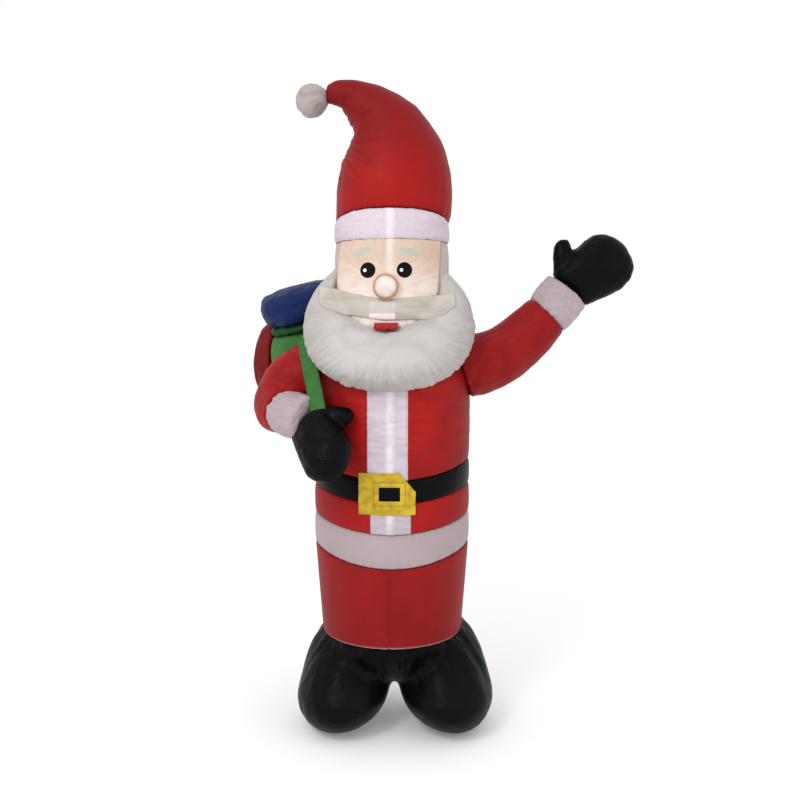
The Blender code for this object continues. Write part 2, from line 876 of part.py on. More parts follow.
# Each arm's middle line: (outwards from the tube's side, forwards, up from the
# shoulder, share of the way from the shoulder's radius to the wrist's)
WAVING_LINE = (
    (-0.115, 0.000, -0.012, -0.05),
    (-0.020, 0.000, 0.000, 0.05),
    (0.028, 0.000, 0.006, 0.26),
    (0.106, 0.000, 0.040, 0.56),
    (0.171, 0.000, 0.096, 0.80),
    (0.2175, 0.000, 0.144, 1.00),
)
HOLDING_LINE = (
    (-0.115, 0.000, -0.027, -0.20),
    (-0.018, 0.002, -0.027, -0.05),
    (0.046, 0.012, -0.045, 0.14),
    (0.085, 0.038, -0.088, 0.50),
    (0.092, 0.076, -0.116, 0.82),
    (0.068, 0.122, -0.121, 1.00),
)


def limb_points(line, side, shoulder_radius, wrist_radius):
    """The arm's middle line in space, with the radius at each point."""
    points = []
    for out, forward, up, share in line:
        place = Vector((side * (BODY_RADIUS + out), -forward, SHOULDER_Z + up))
        points.append((place, lerp(shoulder_radius, wrist_radius, share)))
    return points


def smooth_between(values, position):
    """A Catmull-Rom curve through the values, read at a position counted in values."""
    last = len(values) - 1
    index = min(int(position), last - 1)
    t = position - index
    before = values[max(0, index - 1)]
    start, end = values[index], values[index + 1]
    after = values[min(last, index + 2)]
    return 0.5 * (
        start * 2.0
        + (end - before) * t
        + (before * 2.0 - start * 5.0 + end * 4.0 - after) * t**2
        + (start * 3.0 - before - end * 3.0 + after) * t**3
    )


def limb_ring(middle, direction, radius, sides=LIMB_SIDES):
    """A ring square to the limb's direction."""
    across = direction.cross(Vector((0.0, 0.0, 1.0))).normalized()
    over = across.cross(direction).normalized()
    ring = []
    for side in range(sides):
        angle = math.tau * side / sides
        ring.append(middle + radius * (across * math.cos(angle) + over * math.sin(angle)))
    return ring


def make_sleeve(name, points, steps):
    places = [place for place, radius in points]
    radii = [radius for place, radius in points]
    rings = []
    for step in range(steps + 1):
        position = (len(points) - 1) * step / steps
        middle = smooth_between(places, position)
        ahead = smooth_between(places, min(len(points) - 1, position + 0.05))
        behind = smooth_between(places, max(0.0, position - 0.05))
        direction = (ahead - behind).normalized()
        rings.append(limb_ring(middle, direction, smooth_between(radii, position)))
    return add_piece(name, loft(name, rings), RED), places[-1], direction


def make_cuff(name, start, direction, end, wrist_radius):
    """A short band from the sleeve's end to the mitten, swollen at its middle."""
    rings = []
    leave = (end - start).normalized()
    for share, swell in ((0.0, 0.0), (0.3, 0.9), (0.7, 0.9), (1.0, 0.2)):
        middle = lerp(start, end, share)
        heading = lerp(direction, leave, min(1.0, 2 * share)).normalized()
        if share == 0.0:
            middle = middle + heading * GAP
        rings.append(limb_ring(middle, heading, wrist_radius + CUFF_FLARE * swell))
    return add_piece(name, loft(name, rings), WHITE), leave


# A mitten's sections, as shares of its length: distance from the cuff, middle's shift
# towards the little finger, half width and half of the thickness's share
WAVING_PALM = (
    (0.00, 0.000, 0.345, 0.56),
    (0.10, 0.018, 0.372, 0.80),
    (0.28, 0.080, 0.425, 0.94),
    (0.50, 0.125, 0.462, 1.00),
    (0.70, 0.150, 0.452, 0.95),
    (0.84, 0.142, 0.395, 0.80),
    (0.94, 0.140, 0.285, 0.56),
    (0.99, 0.140, 0.135, 0.28),
)
WAVING_THUMB = (
    (0.08, -0.160, 0.155),
    (0.22, -0.300, 0.155),
    (0.34, -0.415, 0.150),
    (0.44, -0.485, 0.128),
    (0.50, -0.525, 0.080),
)
HOLDING_PALM = (
    (0.00, 0.000, 0.300, 0.52),
    (0.10, 0.020, 0.335, 0.74),
    (0.28, 0.045, 0.350, 0.88),
    (0.50, 0.050, 0.385, 0.92),
    (0.70, 0.080, 0.370, 0.88),
    (0.84, 0.105, 0.300, 0.72),
    (0.93, 0.115, 0.200, 0.50),
    (0.975, 0.120, 0.100, 0.26),
)
HOLDING_THUMB = (
    (0.06, -0.160, 0.155),
    (0.18, -0.270, 0.165),
    (0.27, -0.370, 0.158),
    (0.34, -0.440, 0.135),
    (0.39, -0.485, 0.085),
)
MITTEN_SIDES = 14

# The ways in which the cuffs and mittens point, and on which side the little finger is
WAVING_WAY = Vector((0.644, 0.0, 0.765))
WAVING_LITTLE_SIDE = Vector((0.77, 0.0, -0.64))
HOLDING_WAY = Vector((0.75, -0.65, -0.13))
HOLDING_MITTEN_WAY = Vector((0.50, -0.62, -0.60))
HOLDING_LITTLE_SIDE = Vector((-0.72, -0.10, -0.68))


def oval_ring(middle, wide, thick, half_width, half_thickness):
    ring = []
    for side in range(MITTEN_SIDES):
        angle = math.tau * side / MITTEN_SIDES
        step = wide * half_width * math.cos(angle) + thick * half_thickness * math.sin(angle)
        ring.append(middle + step)
    return ring


def make_mitten(name, start, direction, little_side, palm, thumb):
    """A palm lobe and a thumb lobe, joined into one stuffed mitten."""
    little = (little_side - direction * little_side.dot(direction)).normalized()
    thick = direction.cross(little)
    length = MITTEN_LENGTH
    rings = []
    for along, shift, half, share in palm:
        middle = start + direction * (along * length) + little * (shift * length)
        half_thickness = share * MITTEN_THICKNESS / 2
        rings.append(oval_ring(middle, little, thick, half * length, half_thickness))
    tip = start + direction * length + little * (palm[-1][1] * length)
    rings.append([tip])
    mitten = add_piece(name, loft(name, rings), BLACK)
    rings = []
    lean = (direction - little * 0.9).normalized()
    across = thick.cross(lean)
    for along, shift, half in thumb:
        middle = start + direction * (along * length) + little * (shift * length)
        rings.append(oval_ring(middle, across, thick, half * length, half * length * 0.85))
    rings.append([rings[-1][0].lerp(rings[-1][MITTEN_SIDES // 2], 0.5) + lean * 0.004])
    lobe = add_piece(name + "_thumb", loft(name + "_thumb", rings), BLACK)
    union(mitten, lobe)
    return mitten


def make_waving_arm(torso):
    points = limb_points(WAVING_LINE, 1, WAVING_SHOULDER_RADIUS, WAVING_WRIST_RADIUS)
    sleeve, wrist, direction = make_sleeve("sleeve_waving", points, 10)
    cut_by(sleeve, torso, clearance=WALL_GAP)
    hand = wrist + WAVING_WAY.normalized() * CUFF_LENGTH
    cuff, leave = make_cuff("cuff_waving", wrist, direction, hand, WAVING_WRIST_RADIUS)
    mitten = make_mitten(
        "mitten_waving", hand + leave * GAP, leave, WAVING_LITTLE_SIDE, WAVING_PALM, WAVING_THUMB
    )
    cut_by(mitten, cuff)
    return sleeve, cuff, mitten


def make_holding_arm(torso):
    points = limb_points(HOLDING_LINE, -1, HOLDING_SHOULDER_RADIUS, HOLDING_WRIST_RADIUS)
    sleeve, wrist, direction = make_sleeve("sleeve_holding", points, 12)
    cut_by(sleeve, torso, clearance=WALL_GAP)
    hand = wrist + HOLDING_WAY.normalized() * HOLDING_CUFF_LENGTH
    cuff, leave = make_cuff("cuff_holding", wrist, direction, hand, HOLDING_WRIST_RADIUS)
    mitten_way = HOLDING_MITTEN_WAY.normalized()
    mitten = make_mitten(
        "mitten_holding",
        hand + leave * GAP,
        mitten_way,
        HOLDING_LITTLE_SIDE,
        HOLDING_PALM,
        HOLDING_THUMB,
    )
    cut_by(mitten, cuff)
    cut_by(mitten, torso, clearance=WALL_GAP)
    return sleeve, cuff, mitten


# Sack

SACK_MOUTH = Vector((-BODY_RADIUS - 0.0315, 0.215, NECK_Z + 0.002))
SACK_LEAN = Vector((-0.225, -0.12, 0.967)).normalized()


def sack_frame():
    """The sack's own axes: its Z runs from its foot to its mouth, where the origin is."""
    turn = Vector((0.0, 0.0, 1.0)).rotation_difference(SACK_LEAN).to_matrix().to_4x4()
    return Matrix.Translation(SACK_MOUTH) @ turn


def make_sack():
    shares = (
        (0.785, 0.0),
        (0.88, -0.10),
        (0.965, -0.26),
        (1.0, -0.46),
        (0.97, -0.66),
        (0.86, -0.82),
        (0.62, -0.94),
        (0.3, -0.99),
    )
    profile = [(0.0, 0.0)]
    profile += [(SACK_RADIUS * width, SACK_LENGTH * up) for width, up in shares]
    profile.append((0.0, -SACK_LENGTH))
    sack = turned("sack", profile, GREEN, SACK_SIDES)
    sack.matrix_world = sack_frame()
    return sack


def make_collar():
    profile = [
        (0.0, COLLAR_WIDTH),
        (SACK_MOUTH_RADIUS - 0.003, COLLAR_WIDTH),
        (SACK_MOUTH_RADIUS + 0.001, COLLAR_WIDTH * 0.7),
        (SACK_MOUTH_RADIUS + 0.001, COLLAR_WIDTH * 0.3),
        (SACK_MOUTH_RADIUS - 0.002, GAP),
        (0.0, GAP),
    ]
    collar = turned("sack_collar", profile, DARK_GREEN, SACK_SIDES)
    collar.matrix_world = sack_frame()
    return collar


def make_gift():
    base = COLLAR_WIDTH + GAP
    shares = ((0.2, 0.985), (0.52, 0.975), (0.79, 0.9), (0.95, 0.75), (1.0, 0.5), (0.96, 0.22))
    profile = [(0.0, base + GIFT_HEIGHT)]
    profile += [(GIFT_RADIUS * width, base + GIFT_HEIGHT * up) for width, up in shares]
    profile += [(SACK_MOUTH_RADIUS - 0.006, base), (0.0, base)]
    gift = turned("gift", profile, BLUE, SACK_SIDES)
    gift.matrix_world = sack_frame()
    return gift


def make_sack_back():
    middle = (SACK_MOUTH.x - POUCH_OUT, SACK_MOUTH.y + POUCH_BACK, NECK_Z - POUCH_DROP)
    radii = (0.130, 0.100, POUCH_HEIGHT / 2)
    return make_ball("sack_back", middle, radii, DARK_RED, turns=16, levels=10)


# The strap's middle line: (outwards from the tube's side, forwards, down from the neck)
STRAP_LINE = (
    (0.030, -0.130, 0.035),
    (0.030, -0.060, 0.020),
    (0.026, 0.015, 0.028),
    (0.012, 0.090, 0.070),
    (-0.006, 0.155, 0.130),
    (-0.022, 0.200, 0.190),
    (-0.032, 0.225, 0.235),
)


def make_strap():
    places = [
        Vector((-BODY_RADIUS - out, -forward, NECK_Z - down)) for out, forward, down in STRAP_LINE
    ]
    last = len(places) - 1

    def place(across, up, side):
        position = last * up
        middle = smooth_between(places, position)
        ahead = smooth_between(places, min(last, position + 0.05))
        behind = smooth_between(places, max(0.0, position - 0.05))
        direction = (ahead - behind).normalized()
        wide = direction.cross(Vector((-0.35, 0.0, 0.0)) + Vector((0.0, -0.6, 0.7))).normalized()
        face = wide.cross(direction).normalized()
        offset = wide * lerp(-0.5, 0.5, across) * STRAP_WIDTH
        return middle + offset + face * (STRAP_THICKNESS / 2 * side)

    return add_piece("strap", slab("strap", place, 2, 16), GREEN)


def stand_on_ground():
    """Moves the figure as a whole, so that the origin is under the middle of its box."""
    bpy.context.view_layer.update()
    corners = [obj.matrix_world @ v.co for obj in PIECES.objects for v in obj.data.vertices]
    low = [min(corner[axis] for corner in corners) for axis in range(3)]
    high = [max(corner[axis] for corner in corners) for axis in range(3)]
    figure = bpy.data.objects.new("figure", None)
    for obj in list(PIECES.objects):
        obj.parent = figure
    PIECES.objects.link(figure)
    figure.location = (-(low[0] + high[0]) / 2, -(low[1] + high[1]) / 2, -low[2])


def main():
    skirt, trim, waist, belt, chest = make_coat()
    torso = keep_whole(chest)
    make_plackets(chest, waist)
    make_buckle()
    boots = make_boots()
    cut_by(boots, skirt)

    head = make_head()
    skull = keep_whole(head)
    inlay(head, lambda grow, name: make_face_panel(name or "face_panel", grow))
    make_headband()
    hat = make_hat()
    make_pompom(hat)

    waving = make_waving_arm(torso)
    holding = make_holding_arm(torso)

    lip = make_lip()
    cut_by(lip, skull, clearance=WALL_GAP)
    nose = make_nose()
    cut_by(nose, skull, clearance=WALL_GAP)
    moustache = make_moustache()
    cut_by(moustache, skull, clearance=WALL_GAP)
    cut_by(moustache, lip, nose)
    beard = make_beard()
    cut_by(beard, skull, torso, clearance=WALL_GAP)
    cut_by(beard, moustache, lip, waving[0], holding[0])

    strap = make_strap()
    cut_by(strap, torso, clearance=WALL_GAP)
    cut_by(strap, *holding, beard)

    sack = make_sack()
    cut_by(sack, torso, skirt, waist, belt, clearance=WALL_GAP)
    cut_by(sack, holding[0], strap)
    collar = make_collar()
    cut_by(collar, torso, skull, clearance=WALL_GAP)
    cut_by(collar, beard, strap)
    gift = make_gift()
    cut_by(gift, skull, clearance=WALL_GAP)
    cut_by(gift, beard)
    pouch = make_sack_back()
    cut_by(pouch, sack, collar, gift, holding[0])
    stand_on_ground()


main()
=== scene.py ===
# %% [markdown]
# # An air-filled santa that waves and carries a sack
# The real object is sewn from thin coated polyester cloth and held up by a fan's air.
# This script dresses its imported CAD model. Each sewn piece becomes one object of the
# same name with "_cloth" after it, made as that piece is made: cut, sewn shut along its
# seams and then blown up, with Blender's cloth solver as the air.

import math

import bmesh
import bpy
import numpy as np
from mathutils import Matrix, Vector, noise
from mathutils.bvhtree import BVHTree


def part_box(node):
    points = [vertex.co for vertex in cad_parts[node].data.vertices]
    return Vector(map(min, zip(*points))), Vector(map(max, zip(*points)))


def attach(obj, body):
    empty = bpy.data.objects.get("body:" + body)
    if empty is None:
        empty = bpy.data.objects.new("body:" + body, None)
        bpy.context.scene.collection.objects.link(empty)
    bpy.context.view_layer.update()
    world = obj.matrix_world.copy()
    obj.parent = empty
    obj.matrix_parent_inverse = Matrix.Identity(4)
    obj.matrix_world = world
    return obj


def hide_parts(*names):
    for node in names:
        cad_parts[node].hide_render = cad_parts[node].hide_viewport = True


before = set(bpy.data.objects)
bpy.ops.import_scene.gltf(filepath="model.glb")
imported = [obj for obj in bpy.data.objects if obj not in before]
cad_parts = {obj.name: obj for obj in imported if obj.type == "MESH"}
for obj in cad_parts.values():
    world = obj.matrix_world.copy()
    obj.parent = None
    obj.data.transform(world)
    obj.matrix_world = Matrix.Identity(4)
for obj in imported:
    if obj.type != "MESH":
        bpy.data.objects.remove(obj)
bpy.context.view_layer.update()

for leftover in ("Cube", "Light", "Camera"):
    if leftover in bpy.data.objects:
        bpy.data.objects.remove(bpy.data.objects[leftover], do_unlink=True)

print("packed nodes:", len(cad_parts))

# %% [markdown]
# Everything on the upright tube is placed from the tube's own axis and from the heights
# of its seams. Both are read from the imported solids, so the cloth stays where the CAD
# has it. The coat's seams hang lower at the front than at the back, because the figure
# is sewn with its belly forward. The hat is the other way round: it is pulled down over
# the headband at the sides.

# %% The tube's axis and seams
low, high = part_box("headband")
AXIS = Vector(((low[0] + high[0]) / 2, (low[1] + high[1]) / 2, 0.0))


def top_of(node):
    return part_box(node)[1][2]


GROUND_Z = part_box("boots")[0][2]
HEM_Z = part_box("coat_skirt")[0][2]
TRIM_LOWER_Z = top_of("coat_skirt")
TRIM_UPPER_Z = top_of("trim_band")
BELT_LOWER_Z = top_of("coat_waist")
BELT_UPPER_Z = top_of("belt")
NECK_Z = top_of("coat_chest")
BROW_Z = top_of("head")
HAT_Z = top_of("headband")

HEM_RADIUS = 0.198
BODY_RADIUS = 0.2175
HEAD_RADIUS = 0.159
HEADBAND_RADIUS = 0.1615

# Each seam: its height, how far it hangs at the front, how far at the sides, its radius
HEM = (HEM_Z, 0.0, 0.0, HEM_RADIUS)
TRIM_LOWER = (TRIM_LOWER_Z, 0.038, 0.0, BODY_RADIUS)
TRIM_UPPER = (TRIM_UPPER_Z, 0.030, 0.0, BODY_RADIUS)
BELT_LOWER = (BELT_LOWER_Z, 0.031, 0.0, BODY_RADIUS)
BELT_UPPER = (BELT_UPPER_Z, 0.038, 0.0, BODY_RADIUS)
NECK = (NECK_Z, 0.0, 0.0, HEAD_RADIUS)
BROW = (BROW_Z, 0.0, 0.0, HEAD_RADIUS)
CROWN = (HAT_Z, 0.0, 0.030, HEADBAND_RADIUS)
print("axis", [round(v, 4) for v in AXIS], "neck", round(NECK_Z, 4))

# %% [markdown]
# The camera stands where the photographer stood: in front, a little right of the
# middle, at the height of the beard and tipped slightly down. The picture is square.
# Light comes from all round, as in a white photo tent, with a large soft lamp on the
# left and a weaker one on the right, so that round forms still show their turn.

# %% Camera, lamps, surroundings and floor
camera_data = bpy.data.cameras.new("camera")
camera_data.lens = 40.0
camera_data.sensor_width = 36.0
camera = bpy.data.objects.new("camera", camera_data)
camera.location = AXIS + Vector((0.0226, -2.51, 1.1136))
camera.rotation_euler = (math.radians(85.5), 0.0, 0.0)
bpy.context.scene.collection.objects.link(camera)
bpy.context.scene.camera = camera


def add_lamp(name, place, aim, size, power):
    lamp = bpy.data.lights.new(name, "AREA")
    lamp.shape = "DISK"
    lamp.size = size
    lamp.energy = power
    holder = bpy.data.objects.new(name, lamp)
    holder.location = place
    holder.rotation_euler = (Vector(aim) - Vector(place)).to_track_quat("-Z", "Y").to_euler()
    bpy.context.scene.collection.objects.link(holder)


add_lamp("key_lamp", (-1.6, -2.4, 3.0), (0.0, 0.0, 0.9), 1.2, 34.0)
add_lamp("fill_lamp", (2.4, -2.4, 1.6), (0.0, 0.0, 0.9), 1.6, 6.0)

tent = bpy.data.worlds.new("photo_tent")
tent.use_nodes = True
tent.node_tree.nodes["Background"].inputs["Color"].default_value = (1.0, 1.0, 1.0, 1.0)
tent.node_tree.nodes["Background"].inputs["Strength"].default_value = 1.0
bpy.context.scene.world = tent
bpy.context.scene.view_settings.view_transform = "Standard"

# %% [markdown]
# Two small functions serve every finish. One turns a colour as a painter reads it, in
# sRGB hex, into the linear values that a shader takes. The other adds a node with its
# settings and links: a lower-case name is a setting of the node, "in3" is its fourth
# input, and any other name is the input of that name.

# %% Colours and nodes


def linear(hex_colour):
    channels = [int(hex_colour[i : i + 2], 16) / 255 for i in (1, 3, 5)]
    curve = [c / 12.92 if c <= 0.04045 else ((c + 0.055) / 1.055) ** 2.4 for c in channels]
    return (*curve, 1.0)


def add_node(tree, kind, **settings):
    made = tree.nodes.new("ShaderNode" + kind)
    for name, value in settings.items():
        if name[:2] == "in" and name[2:].isdigit():
            socket = made.inputs[int(name[2:])]
        elif name[0].isupper():
            socket = made.inputs[name.replace("_", " ")]
        else:
            setattr(made, name, value)
            continue
        if isinstance(value, bpy.types.NodeSocket):
            tree.links.new(value, socket)
        else:
            socket.default_value = value
    return made


# %% [markdown]
# Every cloth of the figure is the same kind: polyester taffeta, plain woven and coated
# on its back so that it holds air. It has a soft gloss, small crinkles left from
# packing, and it is a little see-through, so where the lamp inside stands near, the
# colour is brighter. Attributes on each piece say where: "light" is how much lamp light
# comes through, "seam" is 1 on a seam line, where doubled cloth is darker, "edge" is 1
# on a hem, which is painted paler as a highlight, and on seam and stitch lines, the
# crease shade attribute is 1 in a crease, where the colour is painted darker as shade,
# and "crush" is how crumpled it is.
# The threads of the real cloth are 0.3 mm apart, too fine for this picture, so the
# weave is drawn at 1.6 mm.

# %% Coated taffeta
WEAVE_MM = 1.6
CRINKLE_MM = 14.0
FOLD_SHADE = 0.35


def attribute(tree, name):
    return add_node(tree, "Attribute", attribute_name=name).outputs["Fac"]


def mixed(tree, share, first, second):
    node = add_node(tree, "Mix", data_type="RGBA", in0=share, in6=first, in7=second)
    return node.outputs[2]


def math_node(tree, operation, *values, use_clamp=False):
    inputs = {f"in{i}": value for i, value in enumerate(values)}
    return add_node(tree, "Math", operation=operation, use_clamp=use_clamp, **inputs).outputs[0]


def object_place(tree):
    return add_node(tree, "TexCoord").outputs["Object"]


def taffeta(name, deep, bright, seam, edge="#CFA8A2", roughness=0.5, gloss=0.1, crinkle=0.7):
    """Coated polyester taffeta: its colour in shade, with light behind it, at a seam and as
    painted shade in a crease, and on a hem as a painted highlight and on seam lines. Gloss
    is the specular level, and crinkle the depth of small folds in mm."""
    material = bpy.data.materials.new(name)
    material.use_nodes = True
    tree = material.node_tree
    shader = tree.nodes["Principled BSDF"]
    place = object_place(tree)

    patches = add_node(tree, "TexNoise", Vector=place, Scale=9.0, Detail=3.0, Roughness=0.6)
    lit = math_node(tree, "MULTIPLY_ADD", patches.outputs["Fac"], 0.36, -0.18)
    lit = math_node(tree, "ADD", attribute(tree, "light"), lit, use_clamp=True)
    colour = mixed(tree, lit, linear(deep), linear(bright))
    # Seam lines darken the colour, and creases are painted darker as shade, both towards the seam
    # colour.
    sewn = math_node(tree, "MULTIPLY", attribute(tree, "seam"), 0.7)
    seam_and_crease_shade = math_node(tree, "MULTIPLY_ADD", attribute(tree, "crease_shade"), FOLD_SHADE, sewn)
    colour = mixed(tree, math_node(tree, "MINIMUM", seam_and_crease_shade, 1.0), colour, linear(seam))
    # On a hem the colour is painted paler as a highlight; on seam and stitch lines it takes their
    # own colour.
    colour = mixed(tree, attribute(tree, "edge"), colour, linear(edge))
    tree.links.new(colour, shader.inputs["Base Color"])

    shader.inputs["Roughness"].default_value = roughness
    shader.inputs["IOR"].default_value = 1.5
    shader.inputs["Specular IOR Level"].default_value = gloss

    crumple = add_node(
        tree,
        "TexNoise",
        noise_type="RIDGED_MULTIFRACTAL",
        Vector=place,
        Scale=1000 / CRINKLE_MM,
        Detail=2.0,
        Roughness=0.5,
        Distortion=0.8,
    )
    crushed = math_node(tree, "MULTIPLY_ADD", attribute(tree, "crush"), -3.0, -0.5)
    folds = math_node(tree, "MULTIPLY", crumple.outputs["Fac"], crushed)
    bump = add_node(tree, "Bump", Strength=1.0, Distance=crinkle / 1000, Height=folds)
    threads = []
    for direction in ("X", "Z"):
        thread = add_node(
            tree, "TexWave", bands_direction=direction, Vector=place, Scale=50 / WEAVE_MM
        )
        threads.append(thread.outputs["Fac"])
    weave = math_node(tree, "MULTIPLY", *threads)
    fine = add_node(
        tree, "Bump", Strength=0.3, Distance=0.0002, Height=weave, Normal=bump.outputs[0]
    )
    tree.links.new(fine.outputs[0], shader.inputs["Normal"])
    return material


# Each cloth's third colour serves its seams and the painted shade in its creases.
RED = taffeta("red_taffeta", "#7A1214", "#B41C19", "#4C090C")
WHITE = taffeta("white_taffeta", "#A39396", "#C9BDC5", "#7C7074", edge="#D6CACC")
BLACK = taffeta("black_taffeta", "#020304", "#0D1013", "#000001", roughness=0.4, gloss=0.07)
GREEN = taffeta("green_taffeta", "#2C5A29", "#437A3B", "#193A19")
# The sack's green, painted darker as shade, for its collar.
GREEN_IN_SHADE = taffeta("green_in_shade_taffeta", "#143E1B", "#225628", "#0B260D")
BLUE = taffeta("blue_taffeta", "#0C1C48", "#1B3369", "#070F2A")
DARK_RED = taffeta("dark_red_taffeta", "#540B0C", "#8A1516", "#2E0607")
BEARD = taffeta("beard_taffeta", "#A19996", "#BFBBB9", "#87807C")
POMPOM = taffeta("ball_taffeta", "#958D89", "#B5AEAA", "#78706C")
YELLOW = taffeta("yellow_taffeta", "#AE8C10", "#DCC22C", "#6E570B", roughness=0.35, gloss=0.3)
RED_LIP = taffeta("lip_taffeta", "#8C1416", "#AC1C1B", "#5E0C10")

# %% [markdown]
# Four finishes carry more than plain cloth. The headband and the white strips stand
# right before the lamp and show it as a pale upright streak. The face is printed with
# black eyes, each with a white glint, and with pale eyebrows. The moustache is double
# cloth but for a single layer in its middle, which is brighter, and the nose shows its
# seam allowance through the cloth as a brown ring. All of it is flat colour, so it is
# mixed over the cloth by masks that are measured in metres from the tube's axis.

# %% Printed and lamp-lit cloth


def smooth_mask(tree, value, full, none):
    """1 where the value is at full or beyond, 0 at none, and smooth between."""
    node = add_node(
        tree,
        "MapRange",
        interpolation_type="SMOOTHSTEP",
        in0=value,
        in1=none,
        in2=full,
        in3=0.0,
        in4=1.0,
    )
    return node.outputs[0]


def oval(tree, x, z, half_width, half_height, soft=0.08, turn=0.0):
    """An upright oval on the front, 1 inside. Turn is in degrees."""
    place = add_node(
        tree,
        "VectorMath",
        operation="SUBTRACT",
        in0=object_place(tree),
        in1=(AXIS.x + x, 0.0, z),
    )
    turned = add_node(
        tree,
        "VectorRotate",
        rotation_type="Y_AXIS",
        Vector=place.outputs[0],
        Angle=math.radians(turn),
    )
    scaled = add_node(
        tree,
        "VectorMath",
        operation="MULTIPLY",
        in0=turned.outputs[0],
        in1=(1 / half_width, 0.0, 1 / half_height),
    )
    length = add_node(tree, "VectorMath", operation="LENGTH", in0=scaled.outputs[0])
    return smooth_mask(tree, length.outputs["Value"], 1.0 - soft, 1.0 + soft)


def front_box(tree, x_low, x_high, z_low, z_high, soft=0.0012):
    """A rectangle on the front, 1 inside."""
    axes = add_node(tree, "SeparateXYZ", Vector=object_place(tree))
    sides = []
    for name, start, end in (("X", AXIS.x + x_low, AXIS.x + x_high), ("Z", z_low, z_high)):
        sides.append(smooth_mask(tree, axes.outputs[name], start + soft, start - soft))
        sides.append(smooth_mask(tree, axes.outputs[name], end - soft, end + soft))
    mask = sides[0]
    for side in sides[1:]:
        mask = math_node(tree, "MULTIPLY", mask, side)
    return mask


def paint(material, mask, colour, amount=1.0):
    """Lays a colour over what the material has, where the mask is 1."""
    tree = material.node_tree
    socket = tree.nodes["Principled BSDF"].inputs["Base Color"]
    below = socket.links[0].from_socket
    share = math_node(tree, "MULTIPLY", mask, amount)
    tree.links.new(mixed(tree, share, below, linear(colour)), socket)


STREAK_X = -0.0038


def add_streak(material, colour="#FFFFFF", amount=0.38):
    tree = material.node_tree
    axes = add_node(tree, "SeparateXYZ", Vector=object_place(tree))
    away = math_node(tree, "SUBTRACT", axes.outputs["X"], AXIS.x + STREAK_X)
    away = math_node(tree, "ABSOLUTE", away)
    mask = smooth_mask(tree, away, 0.002, 0.016)
    uneven = add_node(tree, "TexNoise", Vector=object_place(tree), Scale=40.0, Detail=2.0)
    mask = math_node(tree, "MULTIPLY", mask, smooth_mask(tree, uneven.outputs["Fac"], 0.6, 0.1))
    ahead = smooth_mask(tree, axes.outputs["Y"], AXIS.y - 0.02, AXIS.y)
    mask = math_node(tree, "MULTIPLY", mask, ahead)
    paint(material, mask, colour, amount)


LIT_WHITE = taffeta("lamp_lit_taffeta", "#A69AA2", "#D2C5CF", "#8E848C", crinkle=0.8)
add_streak(LIT_WHITE)

SKIN = taffeta("face_taffeta", "#CDB5A1", "#ECE0D8", "#B08A70", edge="#B57F5A", crinkle=0.7)
EYE_LEFT_X, EYE_RIGHT_X, EYE_Z = -0.0623, 0.0344, NECK_Z + 0.151
EYE_RADIUS, GLINT_RADIUS = 0.0205, 0.0046
add_streak(SKIN, amount=0.3)
for x, z, turn in ((-0.0745, NECK_Z + 0.201, 17.0), (0.047, NECK_Z + 0.199, -16.0)):
    paint(SKIN, oval(SKIN.node_tree, x, z, 0.028, 0.0095, soft=0.3, turn=turn), "#B3B6AA", 0.9)
for x in (EYE_LEFT_X, EYE_RIGHT_X):
    eye = oval(SKIN.node_tree, x, EYE_Z, EYE_RADIUS, EYE_RADIUS, soft=0.05)
    paint(SKIN, eye, "#040506")
    glint = oval(SKIN.node_tree, x - 0.008, EYE_Z, GLINT_RADIUS, GLINT_RADIUS, soft=0.2)
    paint(SKIN, glint, "#E2E2E2")

MOUSTACHE = taffeta("moustache_taffeta", "#AEA89E", "#C6C0B6", "#8A8478", crinkle=0.5)
middle = front_box(MOUSTACHE.node_tree, -0.0587, 0.0095, NECK_Z + 0.010, NECK_Z + 0.068)
paint(MOUSTACHE, middle, "#CFC4C7", 0.8)
strip = front_box(MOUSTACHE.node_tree, -0.0587, 0.0095, NECK_Z + 0.022, NECK_Z + 0.037)
paint(MOUSTACHE, strip, "#F4EEEE", 0.75)

NOSE_X, NOSE_Z = -0.0154, NECK_Z + 0.107
NOSE = taffeta("nose_taffeta", "#C9BCB4", "#E6DEDA", "#AE8468", edge="#BD8660", crinkle=0.7)
print("finishes:", len(bpy.data.materials))

# %% [markdown]
# The helpers below are the hands of this script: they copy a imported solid, read and
# write its points, apply a modifier, write an attribute, and hang the finished piece on
# the frame.

# %% Helpers for meshes


def deselect_all():
    if bpy.context.mode != "OBJECT":
        bpy.ops.object.mode_set(mode="OBJECT")
    bpy.ops.object.select_all(action="DESELECT")


def pick(piece):
    deselect_all()
    piece.select_set(True)
    bpy.context.view_layer.objects.active = piece


def points_of(piece):
    flat = np.empty(3 * len(piece.data.vertices))
    piece.data.vertices.foreach_get("co", flat)
    return flat.reshape(-1, 3)


def from_axis(piece):
    """The piece's points, measured from the tube's axis."""
    return points_of(piece) - np.array(AXIS)


def normals_of(piece):
    flat = np.empty(3 * len(piece.data.vertices))
    piece.data.vertices.foreach_get("normal", flat)
    return flat.reshape(-1, 3)


def put_points(piece, points):
    piece.data.vertices.foreach_set("co", np.asarray(points, dtype=float).ravel())
    piece.data.update()


def push(piece, amounts):
    """Moves each point along its normal by its own amount, in metres."""
    put_points(piece, points_of(piece) + normals_of(piece) * np.reshape(amounts, (-1, 1)))


def apply_modifier(piece, kind, **settings):
    pick(piece)
    step = piece.modifiers.new(kind.lower(), kind)
    for name, value in settings.items():
        setattr(step, name, value)
    bpy.ops.object.modifier_apply(modifier=step.name)


def subdivide(piece):
    apply_modifier(piece, "SUBSURF", levels=1, render_levels=1)


